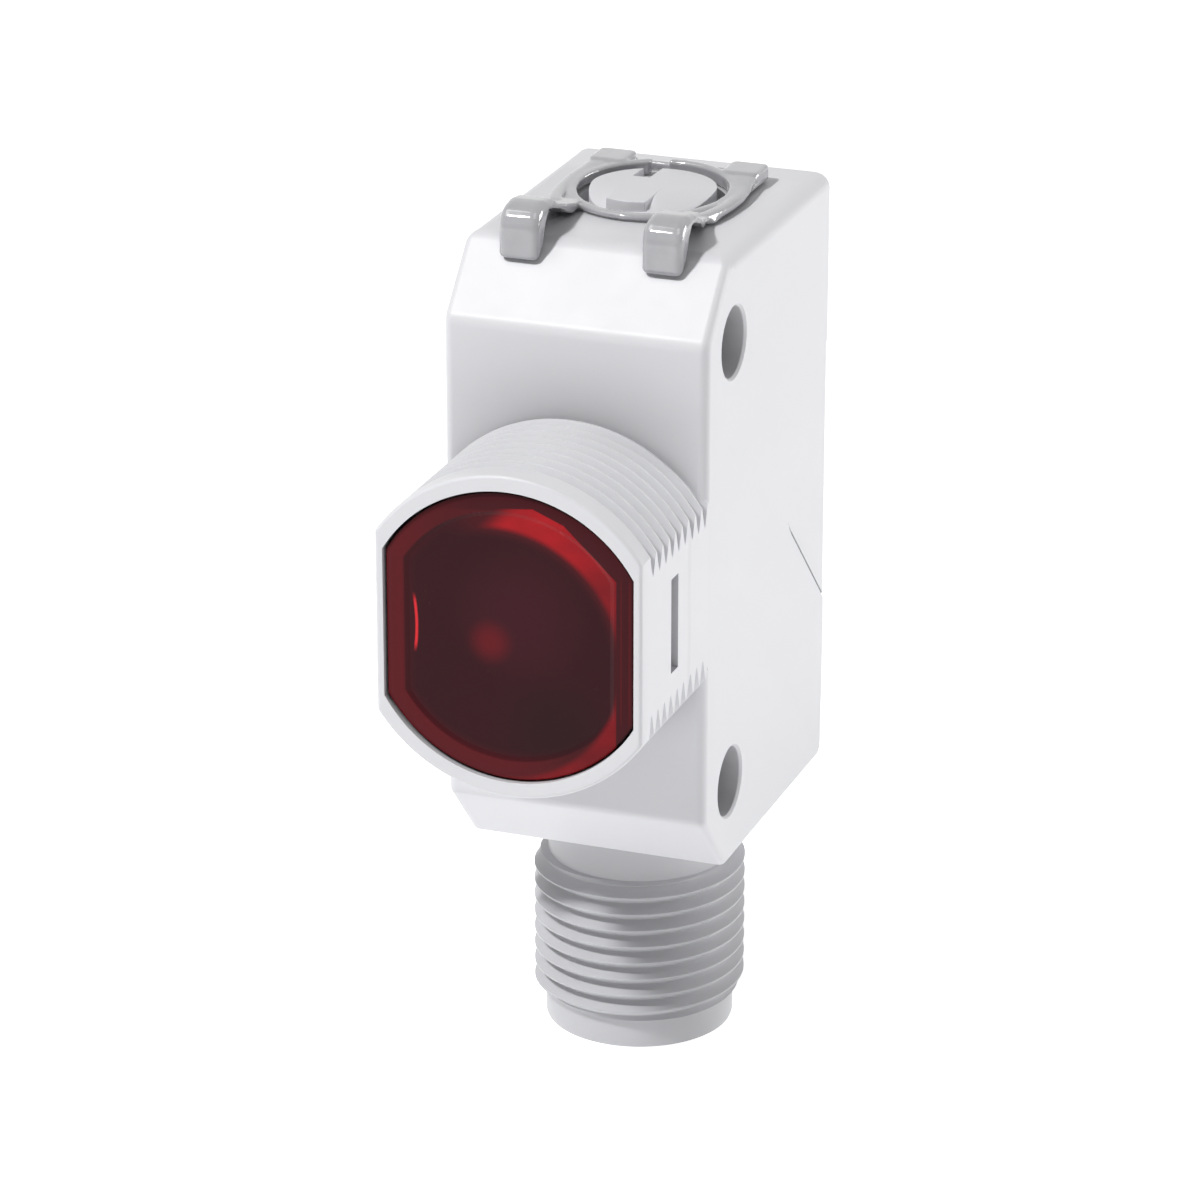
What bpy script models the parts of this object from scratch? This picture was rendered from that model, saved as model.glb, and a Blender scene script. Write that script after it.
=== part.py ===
"""Receiver of a through-beam photoelectric sensor with an 18 mm lens barrel and an M12 connector.

The model's own axes: X is the width, Y runs from the front shoulder to the rear cover and Z is up.
The sensor is drawn about its lens axis, and one empty then moves it so that the world's origin is
the middle of the side mounting face, between the two screw holes. All lengths are in metres.
"""
import math

import bmesh
import bpy
from mathutils import Euler, Matrix, Vector

MM = 0.001

# Clearances
SEAT_GAP = 0.10 * MM
RUNNING_GAP = 0.08 * MM
CUT_MARGIN = 1.0 * MM
MERGE_DISTANCE = 0.001 * MM

# Facets of a full turn
BARREL_STEPS = 64
BORE_STEPS = 40
SMALL_STEPS = 24
PIN_STEPS = 16
FILLET_STEPS = 3
WINDOW_STEPS = 16
LENS_DOME_STEPS = 6
SHOULDER_STEPS = 4
O_RING_STEPS = 8

# Housing
WIDTH = 15.0 * MM
DEPTH = 21.0 * MM
HALF_HEIGHT = 17.6 * MM
NOSE_RUN = 3.65 * MM
NOSE_RISE = 3.90 * MM
SIDE_WALL = 1.2 * MM
FRONT_WALL = 1.5 * MM
END_WALL = 1.6 * MM
LONG_EDGE_RADIUS = 1.0 * MM
SIDE_EDGE_RATIO = 0.5
EDGE_SEGMENTS = 3

# Screw holes through the width
SCREW_HOLE_RADIUS = 1.95 * MM
SCREW_FROM_END = 4.9 * MM
SCREW_BACK = 4.25 * MM
SCREW_BOSS_WALL = 0.9 * MM

# Raised lines on both sides
RELIEF_DEPTH = 0.15 * MM
RELIEF_HALF_HEIGHT = 8.2 * MM
RELIEF_NOSE_RADIUS = 2.0 * MM
RAMP_BACK = 2.9 * MM

# Lens barrel
BARREL_BEYOND_FLATS = 1.5 * MM
BARREL_LENGTH = 10.0 * MM
BARREL_CHAMFER = 0.30 * MM
BARREL_FLAT_INSET = 0.05 * MM
BARREL_COLLAR = 1.3 * MM
LENS_POCKET_WALL = 0.87 * MM
LENS_POCKET_FLAT_WALL = 0.5 * MM
LENS_POCKET_DEPTH = 2.6 * MM
OPTIC_BORE_SHOULDER = 0.3 * MM
FLAT_SLOT_LENGTH = 5.3 * MM
FLAT_SLOT_WIDTH = 1.1 * MM
FLAT_SLOT_DEPTH = 0.8 * MM
FLAT_SLOT_FORWARD = 4.9 * MM

# Lens and its seal
LENS_RECESS = 0.20 * MM
LENS_FLANGE = 1.5 * MM
LENS_DOME_CLEARANCE = 0.3 * MM
LENS_DOME_RISE = 1.7 * MM
LENS_STEP_WIDTH = 1.1 * MM
LENS_STEP_RISE = 0.25 * MM
LENS_GASKET_SETBACK = 0.3 * MM

# Light baffle
BAFFLE_WALL = 0.8 * MM
BAFFLE_PLATE = 0.8 * MM
BAFFLE_PLATE_BORDER = 1.2 * MM
BAFFLE_THROAT_RADIUS = 2.2 * MM

# Boards
BOARD = 0.8 * MM
MAIN_BOARD_TOP_SPACE = 3.6 * MM
MAIN_BOARD_LOWER_SPACE = 5.7 * MM
BOARD_SIDE_GAP = 0.2 * MM
BOARD_CORNER = 0.6 * MM

# Receiver and shield
DIODE_SIZE = 4.4 * MM
DIODE_HEIGHT = 1.2 * MM
DIODE_LENS_RADIUS = 1.3 * MM
DIODE_LENS_RISE = 0.45 * MM
DIODE_LENS_TOP_RADIUS = 1.05 * MM
DIODE_LENS_EDGE_RISE = 0.27 * MM
SHIELD_SIZE = 9.0 * MM
SHIELD_HEIGHT = 2.0 * MM
SHIELD_WALL = 0.25 * MM

# Parts on the rear of the main board
PART_EDGE = 0.12 * MM
CHIP_SIZE = 6.0 * MM
CHIP_HEIGHT = 0.9 * MM
TRANSISTOR_WIDTH = 3.0 * MM
TRANSISTOR_LENGTH = 1.8 * MM
TRANSISTOR_HEIGHT = 1.0 * MM
CAPACITOR_RADIUS = 1.5 * MM
CAPACITOR_HEIGHT = 3.2 * MM
CAPACITOR_APART = 4.6 * MM

# Sensitivity adjuster
ADJUSTER_FORWARD = 2.2 * MM
HEAD_RADIUS = 3.5 * MM
HEAD_RISE = 0.75 * MM
HEAD_EDGE = 0.10 * MM
HEAD_FLAT_RADIUS = 1.3 * MM
HEAD_FALL = 0.45 * MM
POINTER_WIDTH = 2.3 * MM
POINTER_LEFT = 0.45 * MM
NOTCH_WIDTH = 1.0 * MM
NOTCH_LEFT = 1.15 * MM
NOTCH_START = 1.35 * MM
NOTCH_DEPTH = 0.85 * MM
RECESS_RADIUS = 4.05 * MM
RECESS_DEPTH = 0.8 * MM
STEM_RADIUS = 1.75 * MM
SLEEVE_RADIUS = 3.1 * MM
SLEEVE_LENGTH = 1.8 * MM
SLEEVE_BORE = 2.05 * MM
RING_GROOVE_RADIUS = 1.22 * MM
RING_GROOVE_HEIGHT = 0.9 * MM
RING_GROOVE_DROP = 1.4 * MM
STEM_TAIL = 0.5 * MM
CLIP_THICKNESS = 0.5 * MM
CLIP_RADIUS = 2.7 * MM
CLIP_GROOVE_RADIUS = 1.2 * MM
BLADE_WIDTH = 2.2 * MM
BLADE_THICKNESS = 0.7 * MM

# Trimmer under the adjuster
ROTOR_RADIUS = 1.75 * MM
ROTOR_HEIGHT = 2.2 * MM
ROTOR_SLOT_DEPTH = 1.1 * MM
TRIMMER_WALL = 0.75 * MM
TRIMMER_EDGE = 0.2 * MM
TRIMMER_FLOOR = 0.8 * MM
TRIMMER_BELOW_ROTOR = 0.3 * MM

# Rails that carry the indicator board
RAIL_WIDTH = 0.8 * MM
RAIL_HEIGHT = 0.8 * MM
INDICATOR_BOARD_REAR_SPACE = 2.8 * MM

# Indicator cover, a clear moulding that brings the light of two lamps to the outside
COVER_RISE = 1.0 * MM
COVER_RING_INNER = 4.15 * MM
COVER_RING_WALL = 0.55 * MM
COVER_RING_RISE = 0.75 * MM
COVER_RING_EDGE = 0.20 * MM
RING_GAP_WIDTH = 1.0 * MM
RING_GAP_LEFT = 1.05 * MM
LEG_WIDTH = 2.3 * MM
LEG_APART = 8.1 * MM
LEG_FOOT_REACH = 2.0 * MM
LEG_HEEL_REACH = 0.75 * MM
LEG_HEEL_RISE = 0.85 * MM
LEG_FACE_RISE = 1.05 * MM
LEG_SHOULDER_FORWARD = 0.85 * MM
LEG_SHOULDER_RISE = 1.65 * MM
LEG_CREST_BACK = 0.25 * MM
LEG_CREST_RISE = 2.0 * MM
LEG_ARCH_THICKNESS = 0.5 * MM
LEG_ARCH_SHARE = 0.35
LEG_ARCH_FALL = 0.35 * MM
LEG_JOIN_SHARE = 0.75
LEG_JOIN_RISE = 0.1 * MM
LEG_END_DEPTH = 1.65 * MM
LEG_EDGE = 0.15 * MM
BLOCK_DEPTH = 2.7 * MM
BLOCK_WIDTH = 2.4 * MM
BLOCK_APART = 7.6 * MM
BLOCK_BEHIND_ADJUSTER = 5.4 * MM
BAR_DEPTH = 0.5 * MM
BAR_RISE = 0.6 * MM
POST_RADIUS = 0.85 * MM
POST_BEHIND_ADJUSTER = 4.1 * MM
LAMP_SIZE = 1.6 * MM
LAMP_HEIGHT = 1.0 * MM

# Header between the two upper boards
HEADER_LENGTH = 7.6 * MM
HEADER_DEPTH = 1.0 * MM
HEADER_HEIGHT = 1.4 * MM

# Rear cover
REBATE_WALL = 0.6 * MM
COVER_PLATE = 1.2 * MM
COVER_LIP = 1.0 * MM
COVER_LIP_WALL = 0.8 * MM
COVER_EDGE = 0.15 * MM

# Connector
CONNECTOR_LENGTH = 12.9 * MM
THREAD_RADIUS = 6.0 * MM
THREAD_START = 2.9 * MM
THREAD_END = 1.7 * MM
THREAD_CHAMFER = 0.6 * MM

# Threads, drawn as rings
THREAD_PITCH = 1.0 * MM
THREAD_DEPTH = 0.5 * MM
BARREL_CREST = 0.3 * MM
CONNECTOR_CREST = 0.0 * MM

# Connector's neck, end, flange and socket
NECK_RADIUS = 5.2 * MM
END_RING_RADIUS = 5.36 * MM
END_CHAMFER = 0.25 * MM
FLANGE_RADIUS = 6.1 * MM
FLANGE_HEIGHT = 0.9 * MM
FLANGE_BEHIND_SCREW = 2.15 * MM
FLANGE_FLAT_GAP = 0.3 * MM
SOCKET_RADIUS = 4.2 * MM
SOCKET_DEPTH = 8.4 * MM
SOCKET_LIP_RADIUS = 3.7 * MM
SEAL_GROOVE_DEPTH = 0.6 * MM
SEAL_GROOVE_WIDTH = 0.5 * MM

# Contacts
PIN_RADIUS = 0.5 * MM
PIN_CIRCLE_RADIUS = 2.8 * MM
PIN_COUNT = 4
PIN_RECESS = 1.2 * MM
PIN_TIP = 0.25 * MM
PIN_TAIL = 0.6 * MM
PIN_HOLE_GAP = 0.06 * MM
KEY_WIDTH = 1.0 * MM
KEY_DEPTH = 0.7 * MM
KEY_TURN = math.radians(45)

# Lower board and its flexible link
LOWER_BOARD_LIFT = 1.3 * MM
LOWER_BOARD_REACH = 4.6 * MM
LINK_WIDTH = 3.2 * MM
LINK_CLEAR = 1.0 * MM
LINK_THICKNESS = 0.25 * MM
LINK_LEG = 2.0 * MM

# Sizes that follow from the values above
HALF_WIDTH = WIDTH / 2
CAVITY_HALF_WIDTH = HALF_WIDTH - SIDE_WALL
CAVITY_HALF_HEIGHT = HALF_HEIGHT - END_WALL
SCREW_Z = HALF_HEIGHT - SCREW_FROM_END
BOSS_RADIUS = SCREW_HOLE_RADIUS + SCREW_BOSS_WALL
MAIN_BOARD_FRONT = SCREW_BACK + BOSS_RADIUS + SEAT_GAP
MAIN_BOARD_REAR = MAIN_BOARD_FRONT + BOARD
BOARD_HALF_WIDTH = CAVITY_HALF_WIDTH - BOARD_SIDE_GAP
MAIN_BOARD_TOP = HALF_HEIGHT - MAIN_BOARD_TOP_SPACE
MAIN_BOARD_DROP = HALF_HEIGHT - MAIN_BOARD_LOWER_SPACE
RELIEF_BACK = DEPTH - RELIEF_HALF_HEIGHT
BARREL_RADIUS = HALF_WIDTH + BARREL_BEYOND_FLATS
LENS_POCKET_RADIUS = BARREL_RADIUS - LENS_POCKET_WALL
LENS_POCKET_FLAT = HALF_WIDTH - LENS_POCKET_FLAT_WALL
OPTIC_BORE_RADIUS = CAVITY_HALF_WIDTH - OPTIC_BORE_SHOULDER
LENS_DOME_RADIUS = OPTIC_BORE_RADIUS - LENS_DOME_CLEARANCE
LENS_GASKET_INNER = OPTIC_BORE_RADIUS + LENS_GASKET_SETBACK
BAFFLE_PLATE_HALF_HEIGHT = OPTIC_BORE_RADIUS + BAFFLE_PLATE_BORDER
ADJUSTER_BACK = (MAIN_BOARD_REAR + DEPTH) / 2 - ADJUSTER_FORWARD
BLOCK_BACK = ADJUSTER_BACK + BLOCK_BEHIND_ADJUSTER
POST_BACK = ADJUSTER_BACK + POST_BEHIND_ADJUSTER
INDICATOR_BOARD_BACK = DEPTH - INDICATOR_BOARD_REAR_SPACE
CONNECTOR_BACK = SCREW_BACK + BOSS_RADIUS + PIN_CIRCLE_RADIUS + PIN_RADIUS + SEAT_GAP
TRIMMER_SIZE = 2 * (ROTOR_RADIUS + TRIMMER_WALL)
RECESS_FLOOR = HALF_HEIGHT - RECESS_DEPTH
SLEEVE_BOTTOM = CAVITY_HALF_HEIGHT - SLEEVE_LENGTH
CLIP_TOP = SLEEVE_BOTTOM - SEAT_GAP
CLIP_BOTTOM = CLIP_TOP - CLIP_THICKNESS
STEM_BOTTOM = CLIP_BOTTOM - STEM_TAIL
ROTOR_TOP = STEM_BOTTOM - SEAT_GAP
ROTOR_BOTTOM = ROTOR_TOP - ROTOR_HEIGHT
TRIMMER_BOTTOM = ROTOR_BOTTOM - RUNNING_GAP - TRIMMER_FLOOR
TRIMMER_TOP = ROTOR_TOP - TRIMMER_BELOW_ROTOR
INDICATOR_BOARD_TOP = TRIMMER_BOTTOM - SEAT_GAP
INDICATOR_BOARD_BOTTOM = INDICATOR_BOARD_TOP - BOARD
LAMP_TOP = INDICATOR_BOARD_TOP + SEAT_GAP + LAMP_HEIGHT
LINK_TOP = -MAIN_BOARD_DROP + LINK_LEG
PARTS_SPACE = INDICATOR_BOARD_BOTTOM - SEAT_GAP - HEADER_HEIGHT - LINK_TOP
PARTS_GAP = (PARTS_SPACE - 2 * CAPACITOR_RADIUS - CHIP_SIZE - TRANSISTOR_LENGTH) / 4
CAPACITOR_Z = LINK_TOP + PARTS_GAP + CAPACITOR_RADIUS
CHIP_Z = CAPACITOR_Z + CAPACITOR_RADIUS + PARTS_GAP + CHIP_SIZE / 2
TRANSISTOR_Z = CHIP_Z + CHIP_SIZE / 2 + PARTS_GAP + TRANSISTOR_LENGTH / 2
COVER_BOTTOM = HALF_HEIGHT + SEAT_GAP
COVER_TOP = HALF_HEIGHT + COVER_RISE
COVER_RING_TOP = HALF_HEIGHT + COVER_RING_RISE
CONNECTOR_END = -HALF_HEIGHT - CONNECTOR_LENGTH
FLANGE_BOTTOM = -CAVITY_HALF_HEIGHT + SEAT_GAP
FLANGE_TOP = FLANGE_BOTTOM + FLANGE_HEIGHT
CARRIER_TOP = FLANGE_BOTTOM
CARRIER_BOTTOM = CONNECTOR_END + SOCKET_DEPTH
LOWER_BOARD_BOTTOM = FLANGE_TOP + LOWER_BOARD_LIFT
LOWER_BOARD_TOP = LOWER_BOARD_BOTTOM + BOARD
BAFFLE_FRONT = -BARREL_LENGTH + LENS_POCKET_DEPTH
BAFFLE_PLATE_FRONT = FRONT_WALL + SEAT_GAP
SHIELD_FRONT = MAIN_BOARD_FRONT - SEAT_GAP - SHIELD_HEIGHT
BAFFLE_REAR = SHIELD_FRONT - SEAT_GAP
COVER_PLATE_FRONT = DEPTH - COVER_PLATE
COVER_LIP_FRONT = COVER_PLATE_FRONT - COVER_LIP

DATUM = Vector((-HALF_WIDTH, -SCREW_BACK, 0.0))


def reset_scene():
    """Remove every object of the file that the script is run in."""
    for item in list(bpy.data.objects):
        bpy.data.objects.remove(item, do_unlink=True)


def new_collection(name):
    """Add a collection to the scene."""
    group = bpy.data.collections.new(name)
    bpy.context.scene.collection.children.link(group)
    return group


def new_material(name, colour, roughness, metallic=0.0):
    """Make a plain surface of one colour."""
    surface = bpy.data.materials.new(name)
    surface.use_nodes = True
    shader = surface.node_tree.nodes["Principled BSDF"]
    shader.inputs["Base Color"].default_value = (*colour, 1.0)
    shader.inputs["Roughness"].default_value = roughness
    shader.inputs["Metallic"].default_value = metallic
    surface.diffuse_color = (*colour, 1.0)
    return surface


reset_scene()
PARTS = new_collection("through_beam_sensor")
CUTTERS = new_collection("cutters")

datum = bpy.data.objects.new("sensor_datum", None)
PARTS.objects.link(datum)
datum.location = DATUM

WHITE = new_material("white_moulding", (0.88, 0.88, 0.90), 0.35)
PALE = new_material("pale_moulding", (0.80, 0.80, 0.82), 0.35)
RED_CLEAR = new_material("red_clear_plastic", (0.18, 0.01, 0.02), 0.05)
SMOKE_CLEAR = new_material("smoke_clear_plastic", (0.34, 0.35, 0.36), 0.08)
KNOB_GREY = new_material("grey_moulding", (0.70, 0.70, 0.72), 0.4)
BLACK = new_material("black_moulding", (0.02, 0.02, 0.02), 0.6)
RUBBER = new_material("black_rubber", (0.03, 0.03, 0.03), 0.8)
BOARD_GREEN = new_material("board_laminate", (0.03, 0.20, 0.09), 0.5)
CHIP_BLACK = new_material("chip_package", (0.03, 0.03, 0.035), 0.5)
TINPLATE = new_material("tinned_steel", (0.70, 0.70, 0.72), 0.3, 1.0)
GOLD = new_material("gold_plating", (0.85, 0.62, 0.25), 0.25, 1.0)
AMBER_FILM = new_material("polyimide_film", (0.70, 0.35, 0.06), 0.4)
LAMP_GREEN = new_material("green_lamp", (0.10, 0.55, 0.15), 0.3)
LAMP_YELLOW = new_material("yellow_lamp", (0.80, 0.60, 0.08), 0.3)


def add_object(name, mesh, surface=None):
    """Put a mesh in the model, or among the cutters when it has no surface."""
    item = bpy.data.objects.new(name, mesh)
    item.parent = datum
    if surface is None:
        CUTTERS.objects.link(item)
        item.hide_render = True
        item.display_type = "WIRE"
    else:
        PARTS.objects.link(item)
        mesh.materials.append(surface)
    return item


def mesh_from(bm, name):
    """Turn a bmesh into a mesh and free it."""
    mesh = bpy.data.meshes.new(name)
    bm.to_mesh(mesh)
    bm.free()
    return mesh


def shade_round(item, degrees=35.0):
    """Shade smooth, and keep the edges above an angle crisp."""
    item.data.shade_smooth()
    item.data.set_sharp_from_angle(angle=math.radians(degrees))


def box(name, low, high, surface=None):
    """A block between two corners."""
    low = Vector(low)
    high = Vector(high)
    bm = bmesh.new()
    bmesh.ops.create_cube(bm, size=1.0)
    size = high - low
    bmesh.ops.scale(bm, vec=size, verts=bm.verts)
    bmesh.ops.translate(bm, vec=(low + high) / 2, verts=bm.verts)
    return add_object(name, mesh_from(bm, name), surface)


AXIS_TURN = {
    "X": Euler((0.0, math.pi / 2, 0.0)),
    "Y": Euler((-math.pi / 2, 0.0, 0.0)),
    "Z": Euler((0.0, 0.0, 0.0)),
}


def rod(name, radius, start, end, axis, centre, steps, surface=None):
    """A cylinder between two stations on an axis through a centre point."""
    bm = bmesh.new()
    bmesh.ops.create_cone(bm, cap_ends=True, segments=steps, radius1=radius, radius2=radius,
                          depth=end - start)
    bmesh.ops.translate(bm, vec=(0.0, 0.0, (start + end) / 2), verts=bm.verts)
    bmesh.ops.rotate(bm, verts=bm.verts, cent=(0, 0, 0), matrix=AXIS_TURN[axis].to_matrix())
    item = add_object(name, mesh_from(bm, name), surface)
    item.location = centre
    if surface is not None:
        shade_round(item)
    return item


def turned(name, profile, centre, steps, surface=None, axis="Z"):
    """Turn a profile of radius and height, listed from the top down, about an axis.

    A profile that starts and ends away from the axis is closed into a ring.
    """
    bm = bmesh.new()
    points = [bm.verts.new((radius, 0.0, height)) for radius, height in profile]
    for first, second in zip(points, points[1:]):
        bm.edges.new((first, second))
    if profile[0][0] > 0 and profile[-1][0] > 0:
        bm.edges.new((points[-1], points[0]))
    item = add_object(name, mesh_from(bm, name), surface)
    item.location = centre
    item.rotation_euler = AXIS_TURN[axis]
    screw = item.modifiers.new("turn", "SCREW")
    screw.axis = "Z"
    screw.steps = steps
    screw.render_steps = steps
    screw.use_merge_vertices = True
    screw.merge_threshold = MERGE_DISTANCE
    return item


def rounded(corners):
    """Outline points from corners of (across, up, radius), with each radius as an arc."""
    points = []
    count = len(corners)
    for index, (across, up, radius) in enumerate(corners):
        here = Vector((across, up))
        if radius <= 0:
            points.append(here)
            continue
        before = (Vector(corners[index - 1][:2]) - here).normalized()
        after = (Vector(corners[(index + 1) % count][:2]) - here).normalized()
        half = before.angle(after) / 2
        middle = here + (before + after).normalized() * (radius / math.sin(half))
        start = here + before * (radius / math.tan(half)) - middle
        sweep = start.angle_signed(here + after * (radius / math.tan(half)) - middle)
        for step in range(FILLET_STEPS + 1):
            turn = Matrix.Rotation(-sweep * step / FILLET_STEPS, 2)
            points.append(middle + turn @ start)
    return points


def arc(centre, radius, start, end, steps):
    """Points on an arc, both ends included, with angles in radians."""
    turns = [start + (end - start) * step / steps for step in range(steps + 1)]
    return [Vector((centre[0] + radius * math.cos(turn), centre[1] + radius * math.sin(turn)))
            for turn in turns]


PLANE_TURN = {
    "YZ": Euler((math.pi / 2, 0.0, math.pi / 2)),
    "XY": Euler((0.0, 0.0, 0.0)),
    "XZ": Euler((math.pi / 2, 0.0, 0.0)),
}


def plate(name, outlines, thickness, plane, centre, surface=None):
    """A flat outline with its holes, given a thickness about a centre and made a mesh.

    The outline's own axes are the two that name its plane. An XZ plate grows along Y.
    """
    flat = bpy.data.curves.new(name, "CURVE")
    flat.dimensions = "2D"
    flat.fill_mode = "BOTH"
    flat.extrude = thickness / 2
    for outline in outlines:
        spline = flat.splines.new("POLY")
        spline.points.add(len(outline) - 1)
        for point, place in zip(spline.points, outline):
            point.co = (place[0], place[1], 0.0, 1.0)
        spline.use_cyclic_u = True
    shape = bpy.data.objects.new(name, flat)
    CUTTERS.objects.link(shape)
    bpy.context.view_layer.update()
    depsgraph = bpy.context.evaluated_depsgraph_get()
    mesh = bpy.data.meshes.new_from_object(shape.evaluated_get(depsgraph))
    bpy.data.objects.remove(shape, do_unlink=True)
    bpy.data.curves.remove(flat)
    bm = bmesh.new()
    bm.from_mesh(mesh)
    bpy.data.meshes.remove(mesh)
    bmesh.ops.remove_doubles(bm, verts=bm.verts, dist=MERGE_DISTANCE)
    bmesh.ops.dissolve_limit(bm, angle_limit=math.radians(0.5), verts=bm.verts, edges=bm.edges)
    bmesh.ops.recalc_face_normals(bm, faces=bm.faces)
    item = add_object(name, mesh_from(bm, name), surface)
    item.rotation_euler = PLANE_TURN[plane]
    item.location = centre
    return item


def combine(item, other, operation):
    """Add a Boolean modifier and keep its operand among the cutters."""
    step = item.modifiers.new(other.name, "BOOLEAN")
    step.operation = operation
    step.object = other
    step.solver = "EXACT"


def cut(item, *others):
    """Take the volumes of other objects away."""
    for other in others:
        combine(item, other, "DIFFERENCE")


def join(item, *others):
    """Add the volumes of other objects."""
    for other in others:
        combine(item, other, "UNION")


def bevel_by_angle(item, width, segments=1, degrees=40.0):
    """Round all edges sharper than an angle."""
    edge = item.modifiers.new("edges", "BEVEL")
    edge.width = width
    edge.segments = segments
    edge.limit_method = "ANGLE"
    edge.angle_limit = math.radians(degrees)


def window_outline(radius, flat, steps=WINDOW_STEPS):
    """A circle cut by two upright flats, as the lens window is."""
    corner = math.acos(flat / radius)
    top = arc((0.0, 0.0), radius, corner, math.pi - corner, steps)
    bottom = arc((0.0, 0.0), radius, math.pi + corner, 2 * math.pi - corner, steps)
    return top + bottom


def circle_outline(radius, steps=BORE_STEPS):
    """A full circle's points."""
    return arc((0.0, 0.0), radius, 0.0, 2 * math.pi, steps)[:-1]


def side_outline(inset_front, inset_end, rear):
    """The sensor's side view, inset from the front and from both ends."""
    slope = math.hypot(NOSE_RUN, NOSE_RISE)
    inset_nose = inset_front * slope / NOSE_RISE
    top = HALF_HEIGHT - inset_end
    start = NOSE_RUN + inset_nose - inset_end * NOSE_RUN / NOSE_RISE
    shoulder = top - (start - inset_front) * NOSE_RISE / NOSE_RUN
    return [(inset_front, -shoulder), (inset_front, shoulder), (start, top), (rear, top),
            (rear, -top), (start, -top)]


def weight_edges(mesh):
    """Give each outer edge of the side view's block its share of the largest rounding."""
    bm = bmesh.new()
    bm.from_mesh(mesh)
    weights = bm.edges.layers.float.new("bevel_weight_edge")
    for edge in bm.edges:
        first, second = (vert.co for vert in edge.verts)
        runs_across = abs(first.z - second.z) > MERGE_DISTANCE
        at_rear = min(first.x, second.x) > DEPTH - MERGE_DISTANCE
        at_front = max(first.x, second.x) < MERGE_DISTANCE
        on_top = min(first.y, second.y) > HALF_HEIGHT - MERGE_DISTANCE
        if runs_across and at_rear:
            edge[weights] = 0.0
        elif (runs_across and at_front) or (on_top and not runs_across):
            edge[weights] = 1.0
        else:
            edge[weights] = SIDE_EDGE_RATIO
    bm.to_mesh(mesh)
    bm.free()


def screw_rods(name, radius, half_length):
    """The two cylinders on the screw axes."""
    return [
        rod(f"{name}_{label}", radius, -half_length, half_length, "X",
            (0.0, SCREW_BACK, side * SCREW_Z), SMALL_STEPS)
        for label, side in (("upper", 1), ("lower", -1))
    ]


def housing_cavity():
    """The space inside the housing: the hollow less its bosses, rails and sleeve."""
    hollow = plate("cavity", [side_outline(FRONT_WALL, END_WALL, DEPTH + CUT_MARGIN)],
                   2 * CAVITY_HALF_WIDTH, "YZ", (0.0, 0.0, 0.0))
    cut(hollow, *screw_rods("boss", BOSS_RADIUS, HALF_WIDTH))
    sleeve = rod("sleeve", SLEEVE_RADIUS, SLEEVE_BOTTOM, HALF_HEIGHT, "Z",
                 (0.0, ADJUSTER_BACK, 0.0), BORE_STEPS)
    cut(hollow, sleeve)
    rail_top = INDICATOR_BOARD_BOTTOM - SEAT_GAP
    for label, side in (("left", -1), ("right", 1)):
        near = side * (CAVITY_HALF_WIDTH - RAIL_WIDTH)
        far = side * HALF_WIDTH
        rail = box(f"rail_{label}",
                   (min(near, far), MAIN_BOARD_REAR + SEAT_GAP, rail_top - RAIL_HEIGHT),
                   (max(near, far), INDICATOR_BOARD_BACK, rail_top))
        cut(hollow, rail)
    return hollow


def thread_rings(radius, start, end, crest):
    """Profile points of V grooves one pitch apart, in the middle of a turned stretch.

    The points run from start down to end. A crest of no width is one sharp point.
    """
    count = int((start - end) / THREAD_PITCH)
    first = (start + end + count * THREAD_PITCH) / 2
    points = []
    for index in range(count):
        top = first - index * THREAD_PITCH
        points.append((radius, top - crest / 2))
        points.append((radius - THREAD_DEPTH, top - THREAD_PITCH / 2))
        if crest > 0:
            points.append((radius, top - THREAD_PITCH + crest / 2))
    return points


def barrel_solid():
    """The turned lens barrel between the sensor's two sides, with its thread behind a plain collar."""
    root = FRONT_WALL / 2
    front = -BARREL_LENGTH
    barrel = turned("barrel", [
        (0.0, root), (BARREL_RADIUS, root),
        *thread_rings(BARREL_RADIUS, 0.0, front + BARREL_COLLAR, BARREL_CREST),
        (BARREL_RADIUS, front + BARREL_CHAMFER), (BARREL_RADIUS - BARREL_CHAMFER, front), (0.0, front),
    ], (0.0, 0.0, 0.0), BARREL_STEPS, axis="Y")
    flat = HALF_WIDTH - BARREL_FLAT_INSET
    slab = box("barrel_flats", (-flat, front - CUT_MARGIN, -2 * BARREL_RADIUS),
               (flat, FRONT_WALL, 2 * BARREL_RADIUS))
    combine(barrel, slab, "INTERSECT")
    return barrel


def side_relief():
    """The shallow arrow-shaped step and the sloping line on both sides."""
    depth = DEPTH + CUT_MARGIN
    reach = RELIEF_HALF_HEIGHT * (depth - RELIEF_BACK) / (DEPTH - RELIEF_BACK)
    arrow = rounded([(RELIEF_BACK, 0.0, RELIEF_NOSE_RADIUS), (depth, reach, 0.0),
                     (depth, -reach, 0.0)])
    length = HALF_HEIGHT + CUT_MARGIN
    band = (RELIEF_BACK - RAMP_BACK) / math.sqrt(2)
    cutters = []
    for label, side in (("left", -1), ("right", 1)):
        inside = HALF_WIDTH - RELIEF_DEPTH
        cutters.append(plate(f"arrow_{label}", [arrow], 2 * CUT_MARGIN, "YZ",
                             (side * (inside + CUT_MARGIN), 0.0, 0.0)))
        ramp = box(f"ramp_{label}", (0.0, 0.0, -length * math.sqrt(2)), (CUT_MARGIN, band, 0.0))
        tilt = Matrix.Rotation(-side * math.atan(RELIEF_DEPTH / band), 4, "Z")
        lean = Matrix.Rotation(math.pi / 4, 4, "X")
        flip = Matrix.Scale(side, 4, (1, 0, 0))
        ramp.data.transform(tilt @ flip)
        if side < 0:
            ramp.data.flip_normals()
        ramp.data.transform(lean)
        ramp.location = (side * (HALF_WIDTH - RELIEF_DEPTH), RAMP_BACK, 0.0)
        cutters.append(ramp)
    return cutters


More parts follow.
